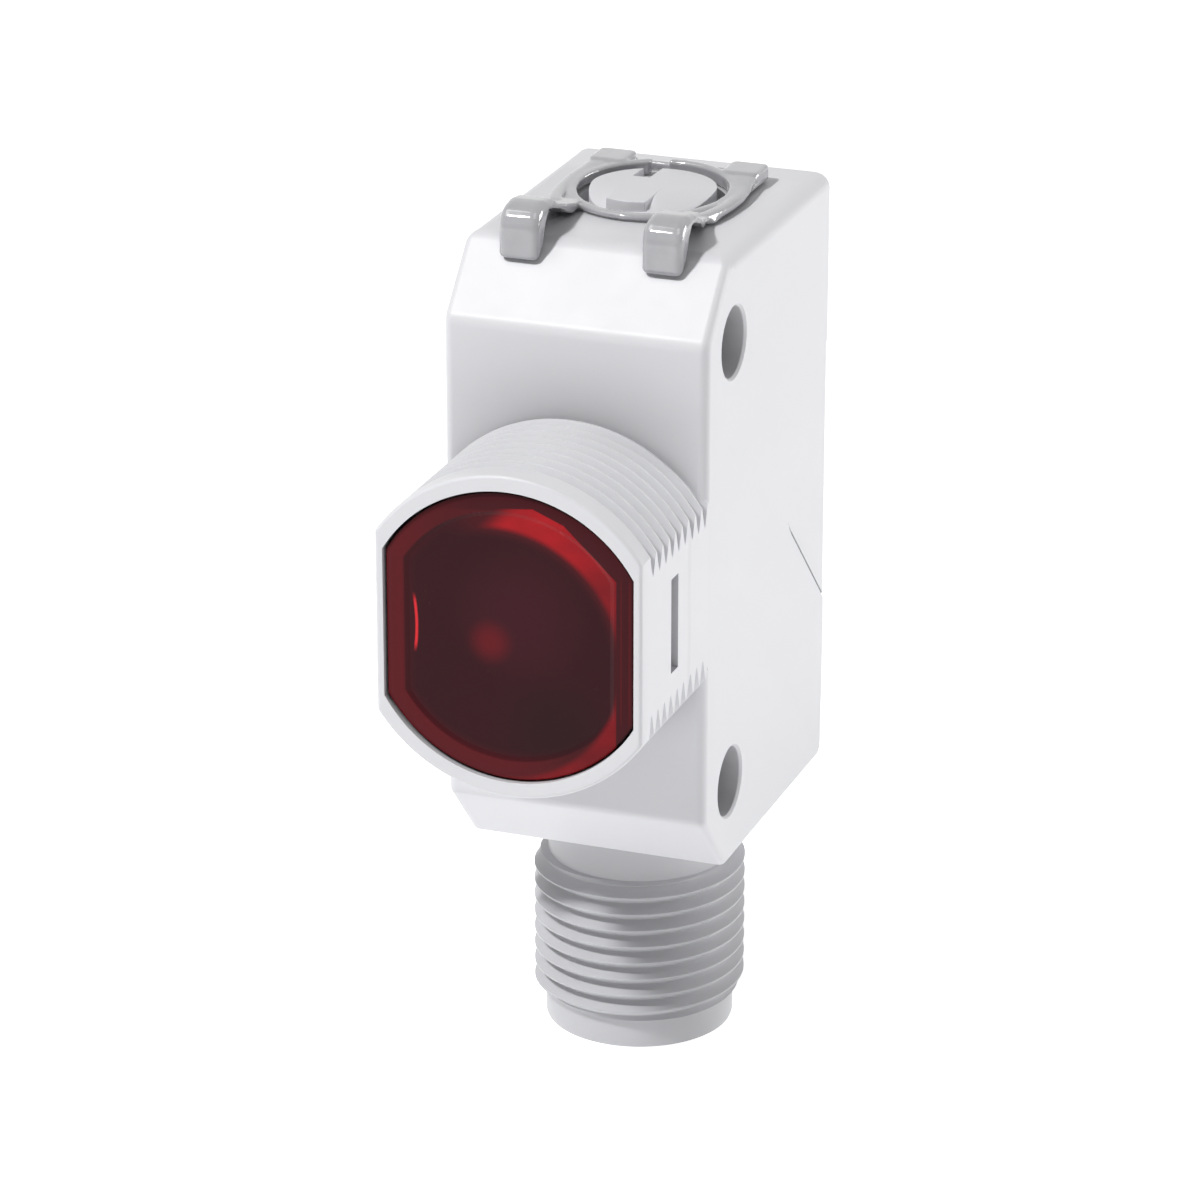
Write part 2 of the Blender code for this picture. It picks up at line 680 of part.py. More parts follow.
def make_housing():
    """The moulded housing with its barrel, screw holes, seats and open rear."""
    shell = plate("housing", [side_outline(0.0, 0.0, DEPTH)], WIDTH, "YZ", (0.0, 0.0, 0.0), WHITE)
    weight_edges(shell.data)
    edge = shell.modifiers.new("edges", "BEVEL")
    edge.width = LONG_EDGE_RADIUS
    edge.segments = EDGE_SEGMENTS
    edge.limit_method = "WEIGHT"
    edge.use_clamp_overlap = False
    join(shell, barrel_solid())
    cut(shell, housing_cavity())
    cut(shell, box("rear_rebate",
                   (-HALF_WIDTH + REBATE_WALL, COVER_PLATE_FRONT - SEAT_GAP, -HALF_HEIGHT + REBATE_WALL),
                   (HALF_WIDTH - REBATE_WALL, DEPTH + CUT_MARGIN, HALF_HEIGHT - REBATE_WALL)))
    cut(shell, *screw_rods("screw_hole", SCREW_HOLE_RADIUS, HALF_WIDTH + CUT_MARGIN))
    pocket = LENS_POCKET_DEPTH + CUT_MARGIN
    cut(shell, plate("lens_pocket", [window_outline(LENS_POCKET_RADIUS, LENS_POCKET_FLAT)], pocket,
                     "XZ", (0.0, -BARREL_LENGTH - CUT_MARGIN + pocket / 2, 0.0)))
    cut(shell, rod("optic_bore", OPTIC_BORE_RADIUS, -BARREL_LENGTH, FRONT_WALL + CUT_MARGIN, "Y",
                   (0.0, 0.0, 0.0), BORE_STEPS))
    for label, side in (("left", -1), ("right", 1)):
        near = side * (HALF_WIDTH - FLAT_SLOT_DEPTH)
        far = side * (HALF_WIDTH + CUT_MARGIN)
        cut(shell, box(f"flat_slot_{label}",
                       (min(near, far), -FLAT_SLOT_FORWARD - FLAT_SLOT_WIDTH / 2, -FLAT_SLOT_LENGTH / 2),
                       (max(near, far), -FLAT_SLOT_FORWARD + FLAT_SLOT_WIDTH / 2, FLAT_SLOT_LENGTH / 2)))
        cut(shell, rod(f"post_hole_{label}", POST_RADIUS + SEAT_GAP, CAVITY_HALF_HEIGHT - CUT_MARGIN,
                       HALF_HEIGHT + CUT_MARGIN, "Z", (side * BLOCK_APART / 2, POST_BACK, 0.0),
                       SMALL_STEPS))
    adjuster_axis = (0.0, ADJUSTER_BACK, 0.0)
    cut(shell, rod("adjuster_recess", RECESS_RADIUS, RECESS_FLOOR, HALF_HEIGHT + CUT_MARGIN, "Z",
                   adjuster_axis, BORE_STEPS))
    cut(shell, rod("sleeve_bore", SLEEVE_BORE, SLEEVE_BOTTOM - CUT_MARGIN, HALF_HEIGHT, "Z",
                   adjuster_axis, BORE_STEPS))
    connector_axis = (0.0, CONNECTOR_BACK, 0.0)
    cut(shell, rod("connector_hole", NECK_RADIUS + SEAT_GAP, -HALF_HEIGHT - CUT_MARGIN,
                   -CAVITY_HALF_HEIGHT + CUT_MARGIN / 2, "Z", connector_axis, BORE_STEPS))
    cut(shell, rod("seal_groove", NECK_RADIUS + SEAL_GROOVE_WIDTH,
                   -CAVITY_HALF_HEIGHT - SEAL_GROOVE_DEPTH, -CAVITY_HALF_HEIGHT + CUT_MARGIN / 2, "Z",
                   connector_axis, BORE_STEPS))
    cut(shell, *side_relief())
    return shell


def make_rear_cover():
    """The cover pressed into the rear of the housing, with a lip that enters the hollow."""
    half_width = HALF_WIDTH - REBATE_WALL - SEAT_GAP
    half_height = HALF_HEIGHT - REBATE_WALL - SEAT_GAP
    cover = box("rear_cover", (-half_width, COVER_PLATE_FRONT, -half_height),
                (half_width, DEPTH, half_height), WHITE)
    bevel_by_angle(cover, COVER_EDGE)
    lip_half_width = CAVITY_HALF_WIDTH - SEAT_GAP
    lip_half_height = CAVITY_HALF_HEIGHT - SEAT_GAP
    lip = box("cover_lip", (-lip_half_width, COVER_LIP_FRONT, -lip_half_height),
              (lip_half_width, COVER_PLATE_FRONT + COVER_PLATE / 2, lip_half_height))
    inner_half_width = lip_half_width - COVER_LIP_WALL
    inner_half_height = lip_half_height - COVER_LIP_WALL
    hollow = box("cover_lip_hollow",
                 (-inner_half_width, COVER_LIP_FRONT - CUT_MARGIN, -inner_half_height),
                 (inner_half_width, COVER_PLATE_FRONT, inner_half_height))
    join(cover, lip)
    cut(cover, hollow)
    return cover


def make_lens():
    """The red lens: a flat flange with the barrel's two flats, a stepped front and a rear dome."""
    radius = LENS_POCKET_RADIUS - SEAT_GAP
    flat = LENS_POCKET_FLAT - SEAT_GAP
    front = -BARREL_LENGTH + LENS_RECESS
    rear = front + LENS_FLANGE
    lens = plate("lens", [window_outline(radius, flat)], LENS_FLANGE, "XZ",
                 (0.0, (front + rear) / 2, 0.0), RED_CLEAR)
    curve_radius = (LENS_DOME_RADIUS ** 2 + LENS_DOME_RISE ** 2) / (2 * LENS_DOME_RISE)
    half_angle = math.asin(LENS_DOME_RADIUS / curve_radius)
    dome = [(curve_radius * math.sin(half_angle * step / LENS_DOME_STEPS),
             rear + LENS_DOME_RISE - curve_radius * (1 - math.cos(half_angle * step / LENS_DOME_STEPS)))
            for step in range(LENS_DOME_STEPS + 1)]
    dome.append((LENS_DOME_RADIUS, (front + rear) / 2))
    dome.append((0.0, (front + rear) / 2))
    join(lens, turned("lens_dome", dome, (0.0, 0.0, 0.0), BORE_STEPS, axis="Y"))
    step_depth = LENS_STEP_RISE + CUT_MARGIN
    cut(lens, plate("lens_step",
                    [window_outline(radius - LENS_STEP_WIDTH, flat - LENS_STEP_WIDTH)], step_depth,
                    "XZ", (0.0, front + LENS_STEP_RISE - step_depth / 2, 0.0)))
    return lens


def make_lens_gasket():
    """The flat seal between the lens flange and the shoulder in the barrel."""
    lens_rear = -BARREL_LENGTH + LENS_RECESS + LENS_FLANGE
    shoulder = -BARREL_LENGTH + LENS_POCKET_DEPTH
    thickness = shoulder - lens_rear - 2 * SEAT_GAP
    outer = window_outline(LENS_POCKET_RADIUS - SEAT_GAP, LENS_POCKET_FLAT - SEAT_GAP)
    return plate("lens_gasket", [outer, circle_outline(LENS_GASKET_INNER)], thickness, "XZ",
                 (0.0, (lens_rear + shoulder) / 2, 0.0), RUBBER)


def make_light_baffle():
    """The black tube that keeps stray light off the receiver, with a plate behind the front wall."""
    outer = OPTIC_BORE_RADIUS - SEAT_GAP
    throat = BAFFLE_THROAT_RADIUS
    plate_rear = BAFFLE_PLATE_FRONT + BAFFLE_PLATE
    tube = turned("light_baffle", [
        (throat, BAFFLE_REAR), (throat + BAFFLE_WALL, BAFFLE_REAR), (outer, plate_rear),
        (outer, BAFFLE_FRONT + SEAT_GAP), (outer - BAFFLE_WALL, BAFFLE_FRONT + SEAT_GAP),
        (outer - BAFFLE_WALL, BAFFLE_PLATE_FRONT),
    ], (0.0, 0.0, 0.0), BORE_STEPS, BLACK, axis="Y")
    collar = plate("baffle_plate", [
        rounded([(side_x * (CAVITY_HALF_WIDTH - SEAT_GAP), side_z * BAFFLE_PLATE_HALF_HEIGHT, BOARD_CORNER)
                 for side_x, side_z in ((1, 1), (-1, 1), (-1, -1), (1, -1))]),
        circle_outline(outer - BAFFLE_WALL / 2),
    ], BAFFLE_PLATE, "XZ", (0.0, BAFFLE_PLATE_FRONT + BAFFLE_PLATE / 2, 0.0))
    join(tube, collar)
    return tube


def make_photodiode():
    """The receiver: a square package with a small clear lens, in front of the main board."""
    half = DIODE_SIZE / 2
    rear = MAIN_BOARD_FRONT - SEAT_GAP
    diode = box("photodiode", (-half, rear - DIODE_HEIGHT, -half), (half, rear, half), CHIP_BLACK)
    front = rear - DIODE_HEIGHT
    join(diode, turned("diode_lens", [
        (0.0, front + DIODE_HEIGHT / 2), (DIODE_LENS_RADIUS, front + DIODE_HEIGHT / 2),
        (DIODE_LENS_RADIUS, front), (DIODE_LENS_TOP_RADIUS, front - DIODE_LENS_EDGE_RISE),
        (0.0, front - DIODE_LENS_RISE),
    ], (0.0, 0.0, 0.0), SMALL_STEPS, axis="Y"))
    return diode


def make_shield():
    """The tinned can round the receiver, open to the board and with a round window."""
    half = SHIELD_SIZE / 2
    rear = MAIN_BOARD_FRONT - SEAT_GAP
    can = box("shield_can", (-half, SHIELD_FRONT, -half), (half, rear, half), TINPLATE)
    inner = half - SHIELD_WALL
    cut(can, box("shield_hollow", (-inner, SHIELD_FRONT + SHIELD_WALL, -inner),
                 (inner, rear + CUT_MARGIN, inner)))
    cut(can, rod("shield_window", BAFFLE_THROAT_RADIUS, SHIELD_FRONT - CUT_MARGIN, rear, "Y",
                 (0.0, 0.0, 0.0), SMALL_STEPS))
    return can


def make_main_board():
    """The upright board behind the screw bosses."""
    corners = rounded([
        (BOARD_HALF_WIDTH, MAIN_BOARD_TOP, BOARD_CORNER), (-BOARD_HALF_WIDTH, MAIN_BOARD_TOP, BOARD_CORNER),
        (-BOARD_HALF_WIDTH, -MAIN_BOARD_DROP, BOARD_CORNER),
        (BOARD_HALF_WIDTH, -MAIN_BOARD_DROP, BOARD_CORNER),
    ])
    return plate("main_board", [corners], BOARD, "XZ", (0.0, MAIN_BOARD_FRONT + BOARD / 2, 0.0),
                 BOARD_GREEN)


def make_board_parts():
    """The chip, the output transistor and two capacitors on the rear of the main board."""
    seat = MAIN_BOARD_REAR + SEAT_GAP
    half = CHIP_SIZE / 2
    chip = box("controller_chip", (-half, seat, CHIP_Z - half), (half, seat + CHIP_HEIGHT, CHIP_Z + half),
               CHIP_BLACK)
    bevel_by_angle(chip, PART_EDGE)
    transistor = box("output_transistor",
                     (-TRANSISTOR_WIDTH / 2, seat, TRANSISTOR_Z - TRANSISTOR_LENGTH / 2),
                     (TRANSISTOR_WIDTH / 2, seat + TRANSISTOR_HEIGHT, TRANSISTOR_Z + TRANSISTOR_LENGTH / 2),
                     CHIP_BLACK)
    bevel_by_angle(transistor, PART_EDGE)
    for label, side in (("a", -1), ("b", 1)):
        rod(f"capacitor_{label}", CAPACITOR_RADIUS, seat, seat + CAPACITOR_HEIGHT, "Y",
            (side * CAPACITOR_APART / 2, 0.0, CAPACITOR_Z), SMALL_STEPS, TINPLATE)


def make_indicator_board():
    """The level board on the housing's rails, with its lamps and the header to the main board."""
    front = MAIN_BOARD_REAR + SEAT_GAP
    corners = rounded([
        (BOARD_HALF_WIDTH, front, 0.0), (BOARD_HALF_WIDTH, INDICATOR_BOARD_BACK, BOARD_CORNER),
        (-BOARD_HALF_WIDTH, INDICATOR_BOARD_BACK, BOARD_CORNER), (-BOARD_HALF_WIDTH, front, 0.0),
    ])
    plate("indicator_board", [corners], BOARD, "XY",
          (0.0, 0.0, INDICATOR_BOARD_TOP - BOARD / 2), BOARD_GREEN)
    half = LAMP_SIZE / 2
    for name, side, surface in (("power_lamp", -1, LAMP_GREEN), ("signal_lamp", 1, LAMP_YELLOW)):
        middle = side * BLOCK_APART / 2
        lamp = box(name, (middle - half, POST_BACK - half, LAMP_TOP - LAMP_HEIGHT),
                   (middle + half, POST_BACK + half, LAMP_TOP), surface)
        bevel_by_angle(lamp, PART_EDGE)
    header_top = INDICATOR_BOARD_BOTTOM - SEAT_GAP
    header = box("board_header", (-HEADER_LENGTH / 2, front, header_top - HEADER_HEIGHT),
                 (HEADER_LENGTH / 2, front + HEADER_DEPTH, header_top), BLACK)
    bevel_by_angle(header, PART_EDGE)


def make_trimmer():
    """The trimmer: a square body with a round well, and the slotted rotor that turns in it."""
    half = TRIMMER_SIZE / 2
    body = box("trimmer_body", (-half, ADJUSTER_BACK - half, TRIMMER_BOTTOM),
               (half, ADJUSTER_BACK + half, TRIMMER_TOP), BLACK)
    bevel_by_angle(body, TRIMMER_EDGE)
    axis = (0.0, ADJUSTER_BACK, 0.0)
    cut(body, rod("trimmer_well", ROTOR_RADIUS + RUNNING_GAP, ROTOR_BOTTOM - RUNNING_GAP,
                  TRIMMER_TOP + CUT_MARGIN, "Z", axis, BORE_STEPS))
    rotor = rod("trimmer_rotor", ROTOR_RADIUS, ROTOR_BOTTOM, ROTOR_TOP, "Z", axis, BORE_STEPS, WHITE)
    slot_half = BLADE_THICKNESS / 2 + RUNNING_GAP
    slot = box("rotor_slot", (-2 * ROTOR_RADIUS, -slot_half, ROTOR_TOP - ROTOR_SLOT_DEPTH),
               (2 * ROTOR_RADIUS, slot_half, ROTOR_TOP + CUT_MARGIN))
    slot.location = axis
    cut(rotor, slot)


def make_adjuster():
    """The adjuster: a domed head with a level pointer and a notch, and a stem with a blade."""
    top = HALF_HEIGHT + HEAD_RISE
    head_bottom = RECESS_FLOOR + SEAT_GAP
    ring_top = HALF_HEIGHT - RING_GROOVE_DROP
    ring_bottom = ring_top - RING_GROOVE_HEIGHT
    clip_top = CLIP_TOP + SEAT_GAP / 2
    clip_bottom = CLIP_BOTTOM - SEAT_GAP / 2
    shoulder = HEAD_RADIUS - HEAD_EDGE - HEAD_FLAT_RADIUS
    dome = [(0.0, top)] + [
        (HEAD_FLAT_RADIUS + shoulder * step / SHOULDER_STEPS,
         top - HEAD_FALL * (step / SHOULDER_STEPS) ** 2) for step in range(SHOULDER_STEPS + 1)]
    profile = dome + [
        (HEAD_RADIUS, top - HEAD_FALL - HEAD_EDGE), (HEAD_RADIUS, head_bottom),
        (STEM_RADIUS, head_bottom), (STEM_RADIUS, ring_top), (RING_GROOVE_RADIUS, ring_top),
        (RING_GROOVE_RADIUS, ring_bottom), (STEM_RADIUS, ring_bottom), (STEM_RADIUS, clip_top),
        (CLIP_GROOVE_RADIUS, clip_top), (CLIP_GROOVE_RADIUS, clip_bottom), (STEM_RADIUS, clip_bottom),
        (STEM_RADIUS, STEM_BOTTOM), (0.0, STEM_BOTTOM),
    ]
    axis = (0.0, ADJUSTER_BACK, 0.0)
    adjuster = turned("adjuster", profile, axis, BORE_STEPS, KNOB_GREY)
    blade = box("adjuster_blade",
                (-BLADE_WIDTH / 2, -BLADE_THICKNESS / 2, ROTOR_TOP - ROTOR_SLOT_DEPTH + SEAT_GAP),
                (BLADE_WIDTH / 2, BLADE_THICKNESS / 2, STEM_BOTTOM + STEM_TAIL / 2))
    pointer = box("adjuster_pointer",
                  (-POINTER_LEFT - POINTER_WIDTH / 2, -HEAD_RADIUS, top - HEAD_FALL - 2 * HEAD_EDGE),
                  (-POINTER_LEFT + POINTER_WIDTH / 2, 0.0, top))
    reach = HEAD_RADIUS - HEAD_EDGE / 2
    combine(pointer, rod("pointer_end", reach, head_bottom, top + CUT_MARGIN, "Z", axis,
                         BORE_STEPS), "INTERSECT")
    notch = box("adjuster_notch", (-NOTCH_LEFT - NOTCH_WIDTH / 2, NOTCH_START, top - NOTCH_DEPTH),
                (-NOTCH_LEFT + NOTCH_WIDTH / 2, 2 * HEAD_RADIUS, top + CUT_MARGIN))
    for piece in (blade, pointer, notch):
        piece.location = axis
    join(adjuster, blade, pointer)
    cut(adjuster, notch)
    ring_radius = (SLEEVE_BORE - SEAT_GAP - RING_GROOVE_RADIUS) / 2 - SEAT_GAP / 4
    ring_circle = RING_GROOVE_RADIUS + SEAT_GAP / 4 + ring_radius
    ring_points = arc((ring_circle, (ring_top + ring_bottom) / 2), ring_radius, math.pi / 2,
                      -1.5 * math.pi, O_RING_STEPS)[:-1]
    turned("adjuster_o_ring", [(point[0], point[1]) for point in ring_points], axis, SMALL_STEPS, RUBBER)
    turned("adjuster_clip", [
        (CLIP_GROOVE_RADIUS + SEAT_GAP, CLIP_TOP), (CLIP_RADIUS, CLIP_TOP), (CLIP_RADIUS, CLIP_BOTTOM),
        (CLIP_GROOVE_RADIUS + SEAT_GAP, CLIP_BOTTOM),
    ], axis, SMALL_STEPS, TINPLATE)


def leg_outline():
    """The side view of one front leg: a foot on the nose slope and a thin arch back to the ring."""
    slope = Vector((NOSE_RUN, NOSE_RISE)).normalized()
    outward = Vector((-slope.y, slope.x)) * SEAT_GAP
    crease = Vector((NOSE_RUN, HALF_HEIGHT))
    heel = crease - slope * LEG_HEEL_REACH + outward
    toe = crease - slope * LEG_FOOT_REACH + outward
    shoulder = crease + Vector((-LEG_SHOULDER_FORWARD, LEG_SHOULDER_RISE))
    crest = crease + Vector((LEG_CREST_BACK, LEG_CREST_RISE))
    ring_front = ADJUSTER_BACK - COVER_RING_INNER - COVER_RING_WALL
    span = ring_front - crest.x
    arch = crest + Vector((span * LEG_ARCH_SHARE, -LEG_ARCH_FALL))
    joint = Vector((crest.x + span * LEG_JOIN_SHARE, COVER_RING_TOP + LEG_JOIN_RISE))
    end_back = ring_front + LEG_END_DEPTH
    thickness = Vector((0.0, LEG_ARCH_THICKNESS))
    return [
        heel, toe, Vector((toe.x, HALF_HEIGHT + LEG_FACE_RISE)), shoulder, crest, arch, joint,
        Vector((end_back, COVER_RING_TOP - SEAT_GAP)), Vector((end_back, COVER_BOTTOM)),
        Vector((ring_front, COVER_BOTTOM)), joint - thickness, arch - thickness, crest - thickness,
        Vector((crease.x, HALF_HEIGHT + LEG_HEEL_RISE)),
    ]


def make_indicator_cover():
    """The clear cover: a ring round the adjuster, two front legs, two rear blocks and two posts."""
    outer = COVER_RING_INNER + COVER_RING_WALL
    cover = turned("indicator_cover", [
        (COVER_RING_INNER, COVER_RING_TOP), (outer - COVER_RING_EDGE, COVER_RING_TOP),
        (outer, COVER_RING_TOP - COVER_RING_EDGE), (outer, COVER_BOTTOM), (COVER_RING_INNER, COVER_BOTTOM),
    ], (0.0, ADJUSTER_BACK, 0.0), BORE_STEPS, SMOKE_CLEAR)
    bar = box("cover_bar", (-BLOCK_APART / 2, BLOCK_BACK - BAR_DEPTH, COVER_BOTTOM),
              (BLOCK_APART / 2, BLOCK_BACK - SEAT_GAP, HALF_HEIGHT + BAR_RISE))
    cut(cover, box("cover_ring_gap", (-RING_GAP_LEFT - RING_GAP_WIDTH / 2, ADJUSTER_BACK, 0.0),
                   (-RING_GAP_LEFT + RING_GAP_WIDTH / 2, BLOCK_BACK - BAR_DEPTH, COVER_TOP + CUT_MARGIN)))
    join(cover, bar)
    for label, side in (("left", -1), ("right", 1)):
        leg = plate(f"cover_leg_{label}", [leg_outline()], LEG_WIDTH, "YZ",
                    (side * LEG_APART / 2, 0.0, 0.0))
        bevel_by_angle(leg, LEG_EDGE, degrees=60.0)
        middle = side * BLOCK_APART / 2
        block = box(f"cover_block_{label}",
                    (middle - BLOCK_WIDTH / 2, BLOCK_BACK - BLOCK_DEPTH, COVER_BOTTOM),
                    (middle + BLOCK_WIDTH / 2, BLOCK_BACK, COVER_TOP))
        bevel_by_angle(block, LEG_EDGE)
        post = rod(f"cover_post_{label}", POST_RADIUS, LAMP_TOP + SEAT_GAP, COVER_BOTTOM + COVER_RISE / 2,
                   "Z", (middle, POST_BACK, 0.0), SMALL_STEPS)
        join(cover, leg, block, post)
    return cover


def make_connector_shell():
    """The round plug side of the housing: flange, neck, threaded part and end ring, bored through."""
    top = FLANGE_TOP
    thread_top = -HALF_HEIGHT - THREAD_START
    thread_bottom = CONNECTOR_END + THREAD_END
    shell = turned("connector_shell", [
        (SOCKET_LIP_RADIUS, top), (FLANGE_RADIUS, top), (FLANGE_RADIUS, FLANGE_BOTTOM),
        (NECK_RADIUS, FLANGE_BOTTOM), (NECK_RADIUS, thread_top + THREAD_CHAMFER),
        (THREAD_RADIUS, thread_top),
        *thread_rings(THREAD_RADIUS, thread_top, thread_bottom + THREAD_CHAMFER, CONNECTOR_CREST),
        (THREAD_RADIUS, thread_bottom + THREAD_CHAMFER),
        (END_RING_RADIUS, thread_bottom), (END_RING_RADIUS, CONNECTOR_END + END_CHAMFER),
        (END_RING_RADIUS - END_CHAMFER, CONNECTOR_END), (SOCKET_RADIUS + END_CHAMFER, CONNECTOR_END),
        (SOCKET_RADIUS, CONNECTOR_END + END_CHAMFER), (SOCKET_RADIUS, CARRIER_TOP + SEAT_GAP),
        (SOCKET_LIP_RADIUS, CARRIER_TOP + SEAT_GAP),
    ], (0.0, CONNECTOR_BACK, 0.0), BORE_STEPS, PALE)
    reach = FLANGE_RADIUS + CUT_MARGIN
    for label, near, far in (("front", -reach, SCREW_BACK + FLANGE_BEHIND_SCREW),
                             ("rear", COVER_LIP_FRONT - FLANGE_FLAT_GAP, CONNECTOR_BACK + DEPTH)):
        cut(shell, box(f"flange_flat_{label}", (-reach, near, FLANGE_BOTTOM - SEAT_GAP / 2),
                       (reach, far, FLANGE_TOP + CUT_MARGIN)))
    return shell


def make_connector_seal():
    """The ring that seals the connector's neck in the floor of the housing."""
    radius = (SEAL_GROOVE_WIDTH - SEAT_GAP) / 2
    middle = -CAVITY_HALF_HEIGHT - SEAL_GROOVE_DEPTH / 2
    points = arc((NECK_RADIUS + SEAL_GROOVE_WIDTH / 2, middle), radius, math.pi / 2,
                 -1.5 * math.pi, O_RING_STEPS)
    turned("connector_seal", [(point[0], point[1]) for point in points[:-1]],
           (0.0, CONNECTOR_BACK, 0.0), BORE_STEPS, RUBBER)


def pin_places():
    """The contacts' places, on a circle about the connector's axis."""
    for index in range(PIN_COUNT):
        turn = 2 * math.pi * index / PIN_COUNT
        yield (PIN_CIRCLE_RADIUS * math.cos(turn),
               CONNECTOR_BACK + PIN_CIRCLE_RADIUS * math.sin(turn))


def make_contacts():
    """The insulating carrier and its contact pins."""
    carrier = rod("contact_carrier", SOCKET_RADIUS - SEAT_GAP, CARRIER_BOTTOM, CARRIER_TOP, "Z",
                  (0.0, CONNECTOR_BACK, 0.0), BORE_STEPS, BLACK)
    for index, (across, back) in enumerate(pin_places(), start=1):
        hole = rod(f"pin_hole_{index}", PIN_RADIUS + PIN_HOLE_GAP, CARRIER_BOTTOM - CUT_MARGIN,
                   CARRIER_TOP + CUT_MARGIN, "Z", (across, back, 0.0), PIN_STEPS)
        cut(carrier, hole)
        turned(f"contact_pin_{index}", [
            (0.0, LOWER_BOARD_TOP + PIN_TAIL), (PIN_RADIUS, LOWER_BOARD_TOP + PIN_TAIL),
            (PIN_RADIUS, CONNECTOR_END + PIN_RECESS + PIN_TIP),
            (PIN_RADIUS - PIN_TIP, CONNECTOR_END + PIN_RECESS), (0.0, CONNECTOR_END + PIN_RECESS),
        ], (across, back, 0.0), PIN_STEPS, GOLD)
    key = box("carrier_key",
              (SOCKET_RADIUS - SEAT_GAP - KEY_DEPTH, -KEY_WIDTH / 2, CARRIER_BOTTOM - CUT_MARGIN),
              (SOCKET_RADIUS + CUT_MARGIN, KEY_WIDTH / 2, CARRIER_TOP + CUT_MARGIN))
    key.location = (0.0, CONNECTOR_BACK, 0.0)
    key.rotation_euler = (0.0, 0.0, KEY_TURN)
    cut(carrier, key)


def make_lower_board():
    """The level board over the connector, carried by the pins, and its flexible link."""
    front = MAIN_BOARD_FRONT
    rear = CONNECTOR_BACK + LOWER_BOARD_REACH
    corners = rounded([
        (BOARD_HALF_WIDTH, front, 0.0), (BOARD_HALF_WIDTH, rear, BOARD_CORNER),
        (-BOARD_HALF_WIDTH, rear, BOARD_CORNER), (-BOARD_HALF_WIDTH, front, 0.0),
    ])
    board = plate("connector_board", [corners], BOARD, "XY", (0.0, 0.0, LOWER_BOARD_TOP - BOARD / 2),
                  BOARD_GREEN)
    for index, (across, back) in enumerate(pin_places(), start=1):
        cut(board, rod(f"board_hole_{index}", PIN_RADIUS + PIN_HOLE_GAP, LOWER_BOARD_BOTTOM - CUT_MARGIN,
                       LOWER_BOARD_TOP + CUT_MARGIN, "Z", (across, back, 0.0), PIN_STEPS))
    near = MAIN_BOARD_REAR + SEAT_GAP
    low = LOWER_BOARD_TOP + SEAT_GAP
    far = max(CONNECTOR_BACK - PIN_RADIUS - 2 * SEAT_GAP, near + 2 * LINK_THICKNESS)
    plate("board_link", [[
        (near, low), (far, low), (far, low + LINK_THICKNESS),
        (near + LINK_THICKNESS, low + LINK_THICKNESS), (near + LINK_THICKNESS, LINK_TOP),
        (near, LINK_TOP),
    ]], LINK_WIDTH, "YZ", (PIN_RADIUS + LINK_CLEAR + LINK_WIDTH / 2, 0.0, 0.0), AMBER_FILM)


def build():
    """Make every piece of the sensor."""
    make_housing()
    make_rear_cover()
    make_lens()
    make_lens_gasket()
    make_light_baffle()
    make_photodiode()
    make_shield()
    make_main_board()
    make_board_parts()
    make_indicator_board()
    make_trimmer()
    make_adjuster()
    make_indicator_cover()
    make_connector_shell()
    make_connector_seal()
    make_contacts()
    make_lower_board()


build()
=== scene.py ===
"""Looks of a through-beam photoelectric sensor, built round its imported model.

Sizes are in millimetres about the lens axis: X is the width, Y runs from the front shoulder to the
rear, Z is up. A mesh is moved to the row frame and to metres when it is made. ORIGIN is the place
of the lens axis at the front shoulder in the row frame, SHELL and KNOB are the two bodies, and POST
is the side and back place of the cover's light posts.
"""

import logging
import math
from dataclasses import dataclass, field
from enum import Enum
from typing import Callable, Sequence

import bmesh
import bpy
import numpy as np
from mathutils import Euler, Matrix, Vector


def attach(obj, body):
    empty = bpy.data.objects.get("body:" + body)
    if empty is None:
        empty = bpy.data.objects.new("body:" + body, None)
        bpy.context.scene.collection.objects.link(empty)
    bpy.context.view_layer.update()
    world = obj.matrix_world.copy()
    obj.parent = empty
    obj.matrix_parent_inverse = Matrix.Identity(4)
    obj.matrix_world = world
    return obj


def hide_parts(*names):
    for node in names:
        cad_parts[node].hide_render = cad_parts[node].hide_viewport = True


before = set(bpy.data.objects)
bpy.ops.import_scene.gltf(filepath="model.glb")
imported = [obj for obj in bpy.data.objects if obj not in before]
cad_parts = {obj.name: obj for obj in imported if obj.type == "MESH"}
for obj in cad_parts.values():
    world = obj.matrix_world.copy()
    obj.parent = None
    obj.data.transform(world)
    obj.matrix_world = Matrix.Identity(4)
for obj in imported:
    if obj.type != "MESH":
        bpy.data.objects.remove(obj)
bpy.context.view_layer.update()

logging.basicConfig(level=logging.INFO, format="%(message)s")
LOG = logging.getLogger("sensor")

Array = np.ndarray
Points = Sequence[Sequence[float]]
Colour = tuple[float, float, float]
Piece = bpy.types.Object
Socket = bpy.types.NodeSocket

MM = 0.001
ORIGIN = np.array([-7.5, -4.25, 0.0])
SHELL = "sensor"
KNOB = "adjuster"
HALF_WIDTH = 7.5
HALF_HEIGHT = 17.6
REAR = 21.0
ADJUSTER_BACK = 12.3
CONNECTOR_BACK = 10.5
POST = (3.8, 16.4)


class Axis(Enum):
    """The axis that a turned or extruded shape is made about."""

    X = "x"
    Y = "y"
    Z = "z"


class Joining(Enum):
    """What a Boolean step does with the other solids."""

    ADD = "UNION"
    CUT = "DIFFERENCE"


# Shapes


def unit(vectors: Array) -> Array:
    """Vectors scaled to a length of one."""
    return vectors / np.maximum(np.linalg.norm(vectors, axis=-1, keepdims=True), 1e-12)


